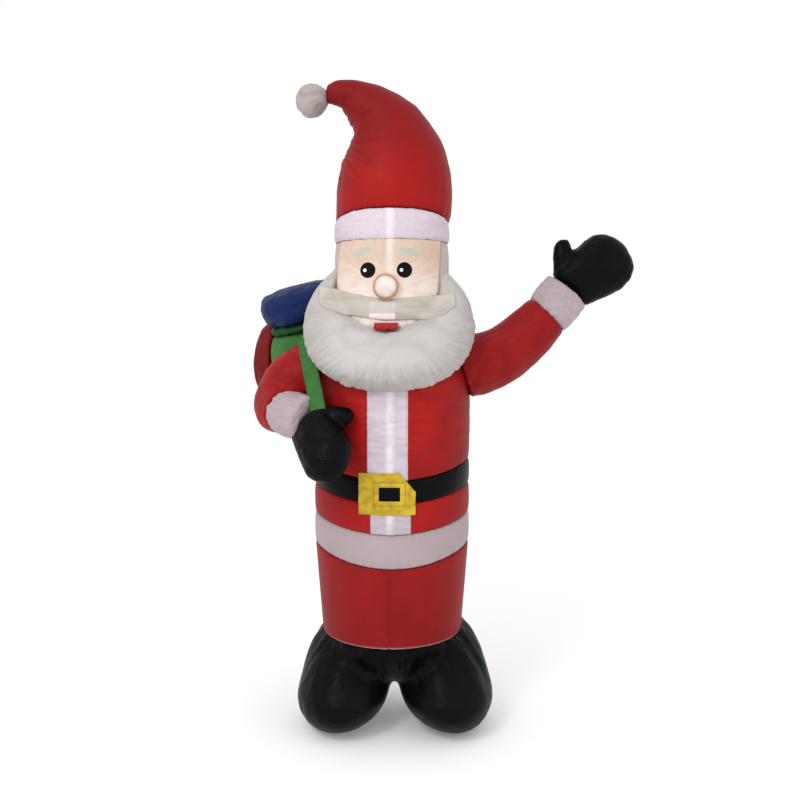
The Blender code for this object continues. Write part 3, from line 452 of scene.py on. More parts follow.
def write_attribute(piece, name, values):
    values = np.clip(np.broadcast_to(values, len(piece.data.vertices)), 0.0, 1.0)
    layer = piece.data.attributes.new(name, "FLOAT", "POINT")
    layer.data.foreach_set("value", values.astype(np.float32))


def finish_piece(piece, material, node):
    """Smooth shading, material, and the piece's place on the frame."""
    piece.data.materials.clear()
    piece.data.materials.append(material)
    for face in piece.data.polygons:
        face.use_smooth = True
    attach(piece, "root")
    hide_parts(node)
    print(f"{piece.name}: {len(piece.data.polygons)} faces")


def bell(distance, width):
    """1 at no distance, and falling smoothly to nothing over about twice the width."""
    return np.exp(-((np.asarray(distance) / width) ** 2))


# %% [markdown]
# Blowing up is the step that makes a sewn bag look like one. The cloth is given a
# little more length than its shape needs, which is slack, it is pinned along its seams,
# and air pressure pushes it out for 20 frames. No point may move further than the cap,
# so a piece stays in the space of its solid.

# %% Blow up a bag
FRAMES = 20


def blow_up(piece, pinned, slack, pressure, cap, stiffness=15.0, bending=0.5):
    """Pinned and slack are values from 0 to 1 and shares of length for each point."""
    rest = points_of(piece)
    pins = piece.vertex_groups.new(name="pins")
    loose = piece.vertex_groups.new(name="loose")
    slack = np.broadcast_to(slack, len(rest))
    most = float(slack.max())
    for index, (hold, give) in enumerate(zip(np.broadcast_to(pinned, len(rest)), slack)):
        if hold > 0.0:
            pins.add([index], float(hold), "REPLACE")
        loose.add([index], float(give) / most, "REPLACE")
    solver = piece.modifiers.new("air", "CLOTH")
    cloth = solver.settings
    cloth.use_pressure = True
    cloth.uniform_pressure_force = pressure
    cloth.effector_weights.gravity = 0.0
    cloth.vertex_group_shrink = "loose"
    cloth.shrink_min = 0.0
    cloth.shrink_max = -most
    cloth.vertex_group_mass = "pins"
    cloth.quality = 4
    cloth.tension_stiffness = stiffness
    cloth.compression_stiffness = stiffness
    cloth.shear_stiffness = stiffness * 0.3
    cloth.bending_stiffness = bending
    solver.point_cache.frame_end = FRAMES
    for number in range(1, FRAMES + 1):
        bpy.context.scene.frame_set(number)
    pick(piece)
    bpy.ops.object.modifier_apply(modifier=solver.name)
    bpy.context.scene.frame_set(1)
    move = points_of(piece) - rest
    length = np.linalg.norm(move, axis=1)
    share = np.minimum(1.0, cap / np.maximum(length, 1e-9))
    put_points(piece, rest + move * share[:, None])
    piece.vertex_groups.clear()
    print(f"{piece.name}: blown up, moved {1000 * length.mean():.1f} mm on average")


# %% [markdown]
# The solver's faces are 6 to 10 mm wide, too wide for the fine creases of thin cloth, so
# those are pressed in after it, on a mesh twice as fine. Ridged noise makes them: a
# sharp line where its ridge is, and a soft puff between. Its scale is given as folds to
# a metre along three axes, so long creases run along the axis with the fewest folds.

# %% Creases


def creases(places, per_metre, octaves=3, seed=0.0):
    """0 on the puffs and down to about -1 in the creases, for each place."""
    scaled = np.asarray(places) * np.asarray(per_metre) + seed
    values = np.array(
        [noise.ridged_multi_fractal(Vector(p), 1.0, 2.0, octaves, 1.0, 2.0) for p in scaled]
    )
    low, high = np.percentile(values, (2, 98))
    return -np.clip((values - low) / (high - low), 0.0, 1.2)


def press(piece, folds, depth, raise_by=0.4):
    """Presses creases in by depth at most, and marks them for painted shade in the cloth's colour.
    """
    put_in = np.reshape(np.asarray(depth) * (folds + raise_by), -1)
    push(piece, put_in)
    strength = np.clip(np.asarray(depth) / 0.0015, 0.0, 1.0) * np.clip(-folds - 0.45, 0.0, 1.0)
    before = np.zeros(len(folds), dtype=np.float32)
    if "crease_shade" in piece.data.attributes:
        piece.data.attributes["crease_shade"].data.foreach_get("value", before)
        piece.data.attributes.remove(piece.data.attributes["crease_shade"])
    write_attribute(piece, "crease_shade", np.maximum(before, 1.6 * strength))


def rolled_out(piece, radius):
    """Places on the tube's cloth as if it was unrolled: along the girth, 0 and height."""
    points = from_axis(piece)
    angle = np.arctan2(points[:, 0], -points[:, 1])
    return np.stack([angle * radius, np.zeros(len(angle)), points[:, 2]], axis=1)


def bag_from(node, voxel, rounds=6, inset=0.0):
    """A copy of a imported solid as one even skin, with its facets worn off. Each round
    smooths and swells it back, which keeps its size."""
    piece = bpy.data.objects.new(node + "_cloth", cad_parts[node].data.copy())
    bpy.context.scene.collection.objects.link(piece)
    pick(piece)
    bpy.ops.object.mode_set(mode="EDIT")
    bpy.ops.mesh.select_all(action="SELECT")
    bpy.ops.mesh.remove_doubles(threshold=0.00001)
    bpy.ops.object.mode_set(mode="OBJECT")
    apply_modifier(piece, "REMESH", mode="VOXEL", voxel_size=voxel)
    for _ in range(rounds):
        apply_modifier(piece, "SMOOTH", factor=0.6, iterations=2)
        apply_modifier(piece, "SMOOTH", factor=-0.5, iterations=2)
    if inset:
        push(piece, np.full(len(piece.data.vertices), -inset))
    return piece


def air_bag(node, voxel, rounds, slack, cap, inset=0.0, pressure=3.0):
    """A bag that is loose all over, blown up and made twice as fine."""
    piece = bag_from(node, voxel, rounds=rounds, inset=inset)
    blow_up(piece, 0.0, slack, pressure, cap=cap)
    subdivide(piece)
    return piece


def flat_grid(name, columns, rows):
    """A grid one metre wide. Gives it and its points' shares along and across."""
    deselect_all()
    bpy.ops.mesh.primitive_grid_add(x_subdivisions=columns, y_subdivisions=rows, size=1.0)
    piece = bpy.context.object
    piece.name = name
    shares = points_of(piece) + 0.5
    return piece, shares[:, 0], shares[:, 1]


# %% [markdown]
# ## The upright tube
# The body is one tube of cloth, sewn from sections of different colours. Each section
# starts as a cylinder whose side is cut into rows in edit mode, and its rows are then
# moved between its two hanging seams. Cylinders are used, not remeshed solids, because
# an even grid keeps the seam line sharp, and gathers run straight away from it.

# %% A section of the tube
AROUND = 180
ROW = 0.0080


def seam_height(seam, x, y):
    height, sag, drop, radius = seam
    forward = np.clip(-y / radius, 0.0, 1.0)
    return height - sag * forward**2 - drop * (1.0 - forward) ** 1.5


def cut_cylinder(name, rows):
    """A cylinder of radius 1 and height 1 with its side in rows and its ends inset."""
    deselect_all()
    bpy.ops.mesh.primitive_cylinder_add(vertices=AROUND, radius=1.0, depth=1.0)
    piece = bpy.context.object
    piece.name = name
    bpy.ops.object.mode_set(mode="EDIT")
    bpy.ops.mesh.select_all(action="DESELECT")
    bpy.ops.mesh.select_mode(type="EDGE")
    shape = bmesh.from_edit_mesh(piece.data)
    for edge in shape.edges:
        edge.select_set(abs(edge.verts[0].co.z - edge.verts[1].co.z) > 0.5)
    bmesh.update_edit_mesh(piece.data)
    bpy.ops.mesh.subdivide(number_cuts=rows - 1)
    bpy.ops.mesh.select_all(action="DESELECT")
    bpy.ops.mesh.select_mode(type="FACE")
    shape = bmesh.from_edit_mesh(piece.data)
    for face in shape.faces:
        face.select_set(len(face.verts) == AROUND)
    bmesh.update_edit_mesh(piece.data)
    bpy.ops.mesh.inset(thickness=0.03)
    bpy.ops.mesh.quads_convert_to_tris(ngon_method="BEAUTY")
    bpy.ops.object.mode_set(mode="OBJECT")
    return piece


def from_seams(piece, lower, upper):
    """Each point's distance from the nearer seam, along the height."""
    points = from_axis(piece)
    bottom = seam_height(lower, points[:, 0], points[:, 1])
    top = seam_height(upper, points[:, 0], points[:, 1])
    return np.maximum(np.minimum(points[:, 2] - bottom, top - points[:, 2]), 0.0)


def tube_section(node, lower, upper, radius_at, slack, gathers=0.0006, pinch=0.002):
    """One blown-up section between two seams. The slack lies near the seams, and each
    row keeps the mean radius that radius_at gives for its share of the height. Gathers
    is the depth of the short folds that run away from the seams."""
    rows = max(6, round((upper[0] - lower[0]) / ROW))
    piece = cut_cylinder(node + "_cloth", rows)
    unit = points_of(piece)
    share = unit[:, 2] + 0.5
    inner = np.minimum(1.0, np.hypot(unit[:, 0], unit[:, 1]))
    angle = np.arctan2(unit[:, 0], -unit[:, 1])
    to_seam = np.minimum(share, 1.0 - share) * (upper[0] - lower[0])
    wall = inner > 0.99
    radius = (radius_at(share) - pinch * bell(to_seam, 0.006)) * inner
    x = radius * np.sin(angle)
    y = -radius * np.cos(angle)
    bottom = seam_height(lower, x, y)
    z = bottom + share * (seam_height(upper, x, y) - bottom)
    put_points(piece, np.stack([x, y, z], axis=1))

    pinned = np.where(wall, np.clip(1.0 - to_seam / (1.5 * ROW), 0.0, 1.0), 1.0)
    blow_up(piece, pinned, 0.004 + slack * bell(to_seam, 0.03), 4.0, cap=0.012)
    blown = points_of(piece)
    swollen = np.hypot(blown[:, 0], blown[:, 1])
    for level in np.unique(np.round(share, 5)):
        row = wall & (np.abs(share - level) < 1e-4)
        if row.any():
            blown[row, :2] *= radius[row].mean() / swollen[row].mean()
    put_points(piece, blown + np.array(AXIS))
    subdivide(piece)

    near = from_seams(piece, lower, upper)
    girth = radius_at(np.array([0.5]))[0]
    places = rolled_out(piece, girth)
    folds = creases(places, (75.0, 1.0, 14.0), seed=len(node))
    press(piece, folds, gathers * bell(near, 0.014), 0.5)
    write_attribute(piece, "seam", 0.45 * bell(near, 0.0022))
    return piece


def lamp_light(piece, height, spread, middle=0.0, width=0.5, amount=1.0):
    """How much light of the lamp inside comes through at each point: most at a height,
    and in front of the lamp."""
    points = from_axis(piece)
    angle = np.arctan2(points[:, 0], -points[:, 1])
    glow = amount * bell(points[:, 2] - height, spread) * bell(angle - middle, width)
    write_attribute(piece, "light", glow)


def straight(lower, upper, swell=0.0015):
    def radius_at(share):
        return lower[3] + (upper[3] - lower[3]) * share + swell * np.sin(np.pi * share)

    return radius_at


# %% [markdown]
# The skirt is the longest section and the darkest, because it is furthest from the
# lamp. It is one width of cloth whose two ends meet in a seam down the front, with
# small gathers across it, and its lower edge is turned up in a narrow hem.

# %% Skirt and white band
FRONT_SEAM_X = -0.0065

skirt = tube_section("coat_skirt", HEM, TRIM_LOWER, straight(HEM, TRIM_LOWER, 0.0), 0.015)
lamp_light(skirt, NECK_Z, 0.85, width=1.6, amount=0.45)
points = from_axis(skirt)
front = points[:, 1] < 0.0
to_front_seam = np.where(front, np.abs(points[:, 0] - FRONT_SEAM_X), 1.0)
across = creases(rolled_out(skirt, HEM_RADIUS), (25.0, 1.0, 70.0), seed=3.0)
press(skirt, across, 0.001 * bell(to_front_seam, 0.022), 0.5)
push(skirt, -0.0015 * bell(to_front_seam, 0.0035))
upright = creases(rolled_out(skirt, HEM_RADIUS), (22.0, 1.0, 3.0), octaves=2, seed=12.0)
press(skirt, upright, 0.0004 * np.clip((TRIM_LOWER_Z - points[:, 2]) / 0.1, 0.0, 1.0))
across_seams = bell(from_seams(skirt, HEM, TRIM_LOWER), 0.0022)
seam = np.maximum(across_seams, 0.4 * bell(to_front_seam, 0.002))
skirt.data.attributes.remove(skirt.data.attributes["seam"])
write_attribute(skirt, "seam", np.where(points[:, 2] < HEM_Z + 0.01, 0.0, seam))
# Painted highlight: a paler line along the hem.
write_attribute(skirt, "edge", 0.8 * bell(points[:, 2] - HEM_Z, 0.0035))
finish_piece(skirt, RED, "coat_skirt")

trim_radius = straight(TRIM_LOWER, TRIM_UPPER)
trim = tube_section("trim_band", TRIM_LOWER, TRIM_UPPER, trim_radius, 0.02, 0.001)
lamp_light(trim, NECK_Z, 0.7, width=0.9, amount=0.3)
finish_piece(trim, WHITE, "trim_band")

# %% [markdown]
# The waist is red like the skirt, but nearer the lamp and so brighter. The belt is a
# black band of the tube itself, sewn in between two seams and not laid over the coat.

# %% Waist and belt
waist = tube_section("coat_waist", TRIM_UPPER, BELT_LOWER, straight(TRIM_UPPER, BELT_LOWER), 0.015)
lamp_light(waist, NECK_Z - 0.1, 0.75, width=1.0, amount=0.85)

belt = tube_section("belt", BELT_LOWER, BELT_UPPER, straight(BELT_LOWER, BELT_UPPER), 0.02, 0.001)
lamp_light(belt, NECK_Z, 0.5, amount=0.3)
finish_piece(belt, BLACK, "belt")

# %% [markdown]
# The chest goes straight up past the arms and then closes in to the neck in a round
# shoulder. Its profile is given as shares of its height and of the step from the head's
# radius to the body's.

# %% Chest
SHOULDER = (
    (0.0, 1.0),
    (0.2, 1.035),
    (0.42, 1.045),
    (0.6, 0.98),
    (0.76, 0.77),
    (0.89, 0.42),
    (1.0, 0.0),
)


def chest_radius(share):
    ups, widths = zip(*SHOULDER)
    return HEAD_RADIUS + (BODY_RADIUS - HEAD_RADIUS) * np.interp(share, ups, widths)


PLACKET_WIDTH = 0.106
PLACKET_CHEST_X = -0.010
PLACKET_WAIST_X = -0.002

chest = tube_section("coat_chest", BELT_UPPER, NECK, chest_radius, 0.015)
lamp_light(chest, NECK_Z - 0.12, 0.32, width=0.95)
points = from_axis(chest)
beside = np.where(
    points[:, 1] < 0.0, np.abs(np.abs(points[:, 0] - PLACKET_CHEST_X) - PLACKET_WIDTH / 2), 1.0
)
across = creases(rolled_out(chest, BODY_RADIUS), (18.0, 1.0, 60.0), seed=5.0)
press(chest, across, 0.0013 * bell(beside, 0.035), 0.5)
broad = creases(rolled_out(chest, BODY_RADIUS), (7.0, 1.0, 16.0), octaves=2, seed=25.0)
press(chest, broad, 0.0012)

# %% [markdown]
# The head and the headband are white, and the lamp stands behind them. The headband is
# sewn on with much slack, so it is the most creased band of the figure: short gathers
# at its seams, and long creases along it.

# %% Head and headband
PINCH = 0.004


def head_radius(share):
    return HEAD_RADIUS - PINCH * np.clip((share - 0.85) / 0.15, 0.0, 1.0)


head = tube_section("head", NECK, BROW, head_radius, 0.01, 0.0012, pinch=0.0)
lamp_light(head, NECK_Z + 0.1, 0.3, width=1.6)


def headband_radius(share):
    return HEADBAND_RADIUS - 0.0015 - PINCH * (np.abs(2.0 * share - 1.0) ** 4)


headband = tube_section("headband", BROW, CROWN, headband_radius, 0.05, 0.0010, pinch=0.0)
places = rolled_out(headband, HEADBAND_RADIUS)
along = creases(places, (22.0, 1.0, 75.0), seed=2.0)
to_side = 0.45 + 0.55 * np.clip(np.abs(places[:, 0]) / 0.12, 0.0, 1.0)
press(headband, along, 0.0009 * to_side, 0.5)
push(headband, 0.0012 * to_side * (along + 0.5))
lamp_light(headband, HAT_Z, 0.3, width=1.7, amount=1.15)
write_attribute(headband, "crush", 0.2)
finish_piece(headband, LIT_WHITE, "headband")

# %% [markdown]
# ## Cloth let into the tube
# The white strips of the coat and the face are pieces let into the wall of the tube, so
# they share its surface. Each is cut from a copy of the section that carries it with
# the bisect tool, lifted off by the thickness of a seam, creased on its own, and given
# a thickness.

# %% Cut a strip from a section
SHEET = 0.0012


def strip_from(section, name, planes, lift=0.0009):
    """A piece of the section's front. Each plane is a point and the way that goes."""
    piece = bpy.data.objects.new(name, section.data.copy())
    bpy.context.scene.collection.objects.link(piece)
    pick(piece)
    bpy.ops.object.mode_set(mode="EDIT")
    bpy.ops.mesh.select_mode(type="FACE")
    bpy.ops.mesh.select_all(action="DESELECT")
    shape = bmesh.from_edit_mesh(piece.data)
    shape.normal_update()
    for face in shape.faces:
        spoke = (face.calc_center_median() - AXIS) * Vector((1.0, 1.0, 0.0))
        face.select_set(spoke.y > 0.0 or face.normal.dot(spoke) < 0.3 * spoke.length)
    bmesh.update_edit_mesh(piece.data)
    bpy.ops.mesh.delete(type="FACE")
    for point, way in planes:
        bpy.ops.mesh.select_all(action="SELECT")
        bpy.ops.mesh.bisect(plane_co=point, plane_no=way, clear_outer=True)
    bpy.ops.object.mode_set(mode="OBJECT")
    push(piece, np.full(len(piece.data.vertices), lift))
    for layer in ("light", "seam", "crease_shade"):
        if layer in piece.data.attributes:
            piece.data.attributes.remove(piece.data.attributes[layer])
    return piece


def upright_plane(x, way):
    return (AXIS + Vector((x, 0.0, 0.0)), Vector((way, 0.0, 0.0)))


def level_plane(z, way):
    return (Vector((0.0, 0.0, z)), Vector((0.0, 0.0, way)))


# %% Plackets


def make_placket(section, node, x, top, seed):
    half = PLACKET_WIDTH / 2
    planes = [upright_plane(x - half, -1.0), upright_plane(x + half, 1.0), level_plane(top, 1.0)]
    strip = strip_from(section, node + "_cloth", planes)
    points = from_axis(strip)
    to_side = half - np.abs(points[:, 0] - x)
    along = creases(points, (14.0, 1.0, 55.0), seed=seed)
    press(strip, along, 0.0014, 1.2)
    write_attribute(strip, "seam", 0.8 * bell(to_side, 0.0018))
    write_attribute(strip, "edge", bell(to_side - 0.0045, 0.0016) * 0.5)
    lamp_light(strip, NECK_Z - 0.1, 0.45, width=2.0)
    write_attribute(strip, "crush", 0.25)
    apply_modifier(strip, "SOLIDIFY", thickness=SHEET, offset=-1.0)
    finish_piece(strip, LIT_WHITE, node)


CHEST_HEIGHT = NECK_Z - BELT_UPPER_Z
make_placket(chest, "placket_chest", PLACKET_CHEST_X, BELT_UPPER_Z + 0.7 * CHEST_HEIGHT, 11.0)
make_placket(waist, "placket_waist", PLACKET_WAIST_X, BELT_LOWER_Z + 0.01, 17.0)
finish_piece(waist, RED, "coat_waist")
finish_piece(chest, RED, "coat_chest")

# %% [markdown]
# The face is skin-coloured cloth let into the head. It is drawn tight round the nose,
# so its creases fan out from there, and its two side seams show through it in brown.

# %% Face panel
FACE_BOTTOM_Z = NECK_Z + 0.001
FACE_LEFT = (-79.0, -63.0)
FACE_RIGHT = (47.0, 58.5)


def on_head(degrees, z):
    turn = math.radians(degrees)
    spoke = Vector((math.sin(turn), -math.cos(turn), 0.0)) * HEAD_RADIUS
    return AXIS + spoke + Vector((0.0, 0.0, z))


def slanted_plane(degrees, side):
    """The plane through the face's side edge and the tube's axis."""
    low_point = on_head(degrees[0], FACE_BOTTOM_Z)
    high_point = on_head(degrees[1], BROW_Z)
    middle = AXIS + Vector((0.0, 0.0, (FACE_BOTTOM_Z + BROW_Z) / 2))
    way = (high_point - low_point).cross(middle - low_point).normalized()
    return (low_point, -way if way.x * side < 0.0 else way)


left_plane = slanted_plane(FACE_LEFT, -1.0)
right_plane = slanted_plane(FACE_RIGHT, 1.0)
planes = [
    left_plane,
    right_plane,
    level_plane(FACE_BOTTOM_Z, -1.0),
    level_plane(BROW_Z - 0.001, 1.0),
]
face = strip_from(head, "face_panel_cloth", planes)
points = points_of(face)
to_side = np.minimum(
    -(points - np.array(left_plane[0])) @ np.array(left_plane[1]),
    -(points - np.array(right_plane[0])) @ np.array(right_plane[1]),
)
write_attribute(face, "edge", bell(to_side - 0.001, 0.0042))
points = from_axis(face)
sideways = points[:, 0] - NOSE_X
upwards = points[:, 2] - NOSE_Z
distance = np.hypot(sideways, upwards)
fan = np.stack([np.arctan2(upwards, sideways), distance, np.zeros(len(points))], axis=1)
folds = creases(fan, (7.0, 12.0, 1.0), seed=9.0)
press(face, folds, 0.0011 * np.clip((distance - 0.03) / 0.03, 0.0, 1.0), 1.2)
write_attribute(face, "light", np.clip(0.25 + (NOSE_Z + 0.06 - points[:, 2]) / 0.14, 0.1, 1.0))
apply_modifier(face, "SOLIDIFY", thickness=SHEET, offset=-1.0)
finish_piece(face, SKIN, "face_panel")
finish_piece(head, BEARD, "head")

# %% [markdown]
# ## Bags
# The other pieces are bags with a shape of their own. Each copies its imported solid,
# turns it into an even skin of small faces, and is blown up from there.
# The hat is tight but for its bend, where the inner side is too long and lies in
# creases that run out from the middle of the bend like the sticks of a fan.

# %% Hat and its ball
hat = bag_from("hat", 0.0076, rounds=6, inset=0.001)
points = points_of(hat)
blow_up(hat, bell(points[:, 2] - HAT_Z, 0.012), 0.02, 3.0, cap=0.004)
subdivide(hat)
points = from_axis(hat)
BEND = np.array((-0.165, HAT_Z + 0.195))
sideways = points[:, 0] - BEND[0]
upwards = points[:, 2] - BEND[1]
reach = np.hypot(sideways, upwards)
fan = np.stack([np.arctan2(upwards, sideways), reach * 4.0, points[:, 1] * 6.0], axis=1)
folds = creases(fan, (6.5, 1.6, 1.0), octaves=2, seed=21.0)
press(hat, folds, 0.0045 * bell(reach - 0.085, 0.045), 0.25)
rim = creases(rolled_out(hat, HEADBAND_RADIUS), (60.0, 1.0, 12.0), seed=6.0)
press(hat, rim, 0.001 * bell(points[:, 2] - HAT_Z, 0.02), 0.2)
points = points_of(hat)
forward = np.clip(-(points[:, 1] - AXIS.y) / HEADBAND_RADIUS, 0.0, 1.0)
pulled = np.clip(1.0 - (points[:, 2] - HAT_Z) / 0.12, 0.0, 1.0)
points[:, 2] -= CROWN[2] * (1.0 - forward) ** 1.5 * pulled
put_points(hat, points)
lamp_light(hat, HAT_Z, 0.2, width=1.5, amount=0.55)
finish_piece(hat, RED, "hat")

pompom = air_bag("pompom", 0.004, rounds=2, slack=0.05, cap=0.003)
points = points_of(pompom)
middle = points.mean(axis=0)
put_points(pompom, middle + 1.08 * (points - middle) + np.array((0.006, 0.0, 0.0)))
press(pompom, creases(points_of(pompom), (24.0, 24.0, 24.0), octaves=2, seed=4.0), 0.005)
write_attribute(pompom, "crush", 0.5)
write_attribute(pompom, "light", 0.5)
finish_piece(pompom, POMPOM, "pompom")

# %% [markdown]
# The beard is the softest bag. Its lower edge is a curved seam, and the slack on both
# sides of it gathers into many creases that run up towards the mouth.

# %% Beard
beard = air_bag("beard", 0.0065, rounds=3, slack=0.05, cap=0.007, inset=0.001)
points = from_axis(beard)
BEARD_MIDDLE = (-0.0075, NECK_Z + 0.03)
sideways = points[:, 0] - BEARD_MIDDLE[0]
downwards = BEARD_MIDDLE[1] - points[:, 2]
reach = np.hypot(sideways, downwards)
turn = np.arctan2(sideways, downwards)
outline = np.interp(np.abs(turn), (0.0, 0.7, 1.57, 2.4), (0.205, 0.232, 0.243, 0.262))
to_edge = np.clip(outline - reach, 0.0, 1.0)
fan = np.stack([turn * 0.22, reach, points[:, 1] * 0.35], axis=1)
folds = creases(fan, (55.0, 11.0, 20.0), octaves=3, seed=13.0)
lower = np.clip(1.25 - np.abs(turn) / 1.9, 0.15, 1.0)
press(beard, folds, 0.0048 * lower * np.clip(1.1 - to_edge / 0.085, 0.0, 1.0))
soft = creases(points, (10.0, 10.0, 13.0), octaves=3, seed=31.0)
press(beard, soft, 0.0009)
points = points_of(beard)
inwards = np.clip((points[:, 2] - NECK_Z - 0.07) / 0.09, 0.0, 1.0) ** 1.5
out = np.abs(points[:, 0] - AXIS.x)
inner_side = np.clip((0.225 - out) / 0.03, 0.0, 1.0)
points[:, 0] -= (0.008 + 0.018 * inner_side) * inwards * np.sign(points[:, 0] - AXIS.x)
put_points(beard, points)
write_attribute(beard, "light", 0.4 + 0.55 * np.clip(to_edge / 0.09, 0.0, 1.0))
finish_piece(beard, BEARD, "beard")

# %% [markdown]
# The moustache is two layers of cloth, sewn round and only a little filled, that lie
# over the face and the beard like a belt. It starts as a flat grid between its upper
# and its lower edge. The grid is laid on what is below it by looking from the front for
# the first surface, and then drawn taut, as cloth that bridges a hollow.

# %% Moustache
MOUSTACHE_TOP = (  # sideways from the axis, and height
    (-0.196, 1.234),
    (-0.159, 1.227),
    (-0.110, 1.212),
    (-0.017, 1.192),
    (0.076, 1.202),
    (0.128, 1.207),
    (0.170, 1.215),
)
MOUSTACHE_LOW = (
    (-0.196, 1.186),
    (-0.176, 1.172),
    (-0.127, 1.154),
    (-0.017, 1.139),
    (0.094, 1.141),
    (0.142, 1.157),
    (0.170, 1.178),
)
MOUSTACHE_COLUMNS, MOUSTACHE_ROWS = 150, 30


def front_of(pieces, x, z):
    """How far forward the first of the pieces stands at a place, as a y value."""
    found = 0.0
    for tree in pieces:
        hit = tree.ray_cast(Vector((x + AXIS.x, -2.0, z)), Vector((0.0, 1.0, 0.0)))[0]
        if hit is not None:
            found = min(found, hit.y - AXIS.y)
    return found


below = []
for piece in (head, face, beard):
    below.append(BVHTree.FromObject(piece, bpy.context.evaluated_depsgraph_get()))

moustache, across, up = flat_grid("moustache_cloth", MOUSTACHE_COLUMNS, MOUSTACHE_ROWS)
x = MOUSTACHE_TOP[0][0] + across * (MOUSTACHE_TOP[-1][0] - MOUSTACHE_TOP[0][0])
top = np.interp(x, *zip(*MOUSTACHE_TOP))
low = np.interp(x, *zip(*MOUSTACHE_LOW))
z = low + up * (top - low)
columns = np.round(across * MOUSTACHE_COLUMNS).astype(int)
rows = np.round(up * MOUSTACHE_ROWS).astype(int)
ground = np.zeros((columns.max() + 1, rows.max() + 1))
for column, row, place_x, place_z in zip(columns, rows, x, z):
    ground[column, row] = front_of(below, place_x, place_z)
taut = ground.copy()
for _ in range(40):
    wide_copy = np.pad(taut, 1, mode="edge")
    sideways = wide_copy[:-2, 1:-1] + wide_copy[2:, 1:-1]
    neighbours = sideways + wide_copy[1:-1, :-2] + wide_copy[1:-1, 2:]
    taut = np.minimum(ground, neighbours / 4)
    taut[:6] = ground[:6]
crown = 0.0040 * np.sqrt(np.clip(4 * up * (1 - up), 0.0, 1.0))
puff = crown * np.clip(12 * np.minimum(across, 1 - across), 0.0, 1.0)
y = taut[columns, rows] - 0.0025 - puff
put_points(moustache, np.stack([x, y, z], axis=1) + np.array(AXIS))
if normals_of(moustache)[:, 1].mean() > 0.0:
    moustache.data.flip_normals()
folds = creases(points_of(moustache), (10.0, 4.0, 38.0), octaves=3, seed=7.0)
press(moustache, folds, 0.0012, 0.6)
write_attribute(moustache, "light", 0.7)
write_attribute(moustache, "seam", 0.35 * bell(np.minimum(up, 1 - up), 0.02))
apply_modifier(moustache, "SOLIDIFY", thickness=0.003, offset=-1.0)
finish_piece(moustache, MOUSTACHE, "moustache")

# %% [markdown]
# The nose is a small round pad. Its cloth is thin and the lamp is behind it, so its
# seam allowance shows through as a brown ring.

# %% Nose
nose = air_bag("nose", 0.004, rounds=3, slack=0.02, cap=0.002, pressure=2.0)
points = from_axis(nose)
reach = np.hypot(points[:, 0] - NOSE_X, points[:, 2] - NOSE_Z)
press(nose, creases(points, (28.0, 28.0, 28.0), seed=8.0), 0.0012)
write_attribute(nose, "light", 0.8)
write_attribute(nose, "edge", np.where(points[:, 1] < 0.0, bell(reach - 0.031, 0.0045), 0.0))
finish_piece(nose, NOSE, "nose")

# %% [markdown]
# ## Arms
# The elbow of the arm that holds the strap ends in a small point of spare cloth.
# A sleeve is tight in the middle and creased where it bends and where it meets the
# cuff. The cuffs are the most crumpled cloth of the arms, and a mitten has a few broad
# folds between its puffs.

# %% Sleeves, cuffs and mittens
ELBOW = np.array((-0.4835, -0.125, 1.005))
ELBOW_POINT = np.array((-0.006, 0.0, -0.022))

for side, way in (("waving", 1.0), ("holding", -1.0)):
    sleeve = air_bag("sleeve_" + side, 0.0076, rounds=5, slack=0.02, cap=0.004, inset=0.001)
    points = points_of(sleeve)
    if side == "holding":
        corner = np.linalg.norm(points - ELBOW, axis=1)
        points += np.outer(bell(corner, 0.028), ELBOW_POINT)
        put_points(sleeve, points)
    slanted = points @ np.array(((0.8, 0.0, -0.6 * way), (0.0, 1.0, 0.0), (0.6 * way, 0.0, 0.8)))
    folds = creases(slanted, (9.0, 12.0, 24.0), octaves=3, seed=40.0 + way)
    press(sleeve, folds, 0.0010)
    push(sleeve, 0.0022 * (folds + 0.4))
    write_attribute(sleeve, "light", 0.25 if way > 0 else 0.4)
    finish_piece(sleeve, RED, "sleeve_" + side)

    cuff = air_bag("cuff_" + side, 0.0056, rounds=3, slack=0.03, cap=0.003)
    folds = creases(points_of(cuff), (34.0, 34.0, 44.0), octaves=3, seed=50.0 + way)
    press(cuff, folds, 0.0009)
    push(cuff, 0.0012 * (folds + 0.4))
    write_attribute(cuff, "crush", 0.5)
    write_attribute(cuff, "light", 0.2)
    finish_piece(cuff, WHITE, "cuff_" + side)

    mitten = air_bag("mitten_" + side, 0.0063, rounds=4, slack=0.03, cap=0.004, inset=0.001)
    folds = creases(points_of(mitten), (9.0, 9.0, 13.0), octaves=3, seed=60.0 + way)
    press(mitten, folds, 0.0042)
    write_attribute(mitten, "crush", 0.3)
    write_attribute(mitten, "light", 0.3)
    finish_piece(mitten, BLACK, "mitten_" + side)

# %% [markdown]
# The boots are one black bag with two lobes. Under the hem the cloth hangs in soft
# upright folds.

# %% Boots
boots = bag_from("boots", 0.0092, rounds=5, inset=0.001)
points = points_of(boots)
blow_up(boots, bell(points[:, 2] - GROUND_Z, 0.01), 0.02, 3.0, cap=0.004)
subdivide(boots)
points = from_axis(boots)
around = np.arctan2(points[:, 0], -points[:, 1])
hanging = np.stack([around * 0.2, np.hypot(points[:, 0], points[:, 1]), points[:, 2]], axis=1)
folds = creases(hanging, (16.0, 6.0, 3.5), octaves=3, seed=70.0)
high = np.clip((points[:, 2] - 0.07) / 0.10, 0.0, 1.0)
press(boots, folds, 0.0012 + 0.0045 * high)
points = points_of(boots)
points[:, 2] = np.maximum(points[:, 2], GROUND_Z)
put_points(boots, points)
write_attribute(boots, "crush", 0.3)
write_attribute(boots, "light", 0.5 * bell(points[:, 2] - 0.14, 0.07))
finish_piece(boots, BLACK, "boots")

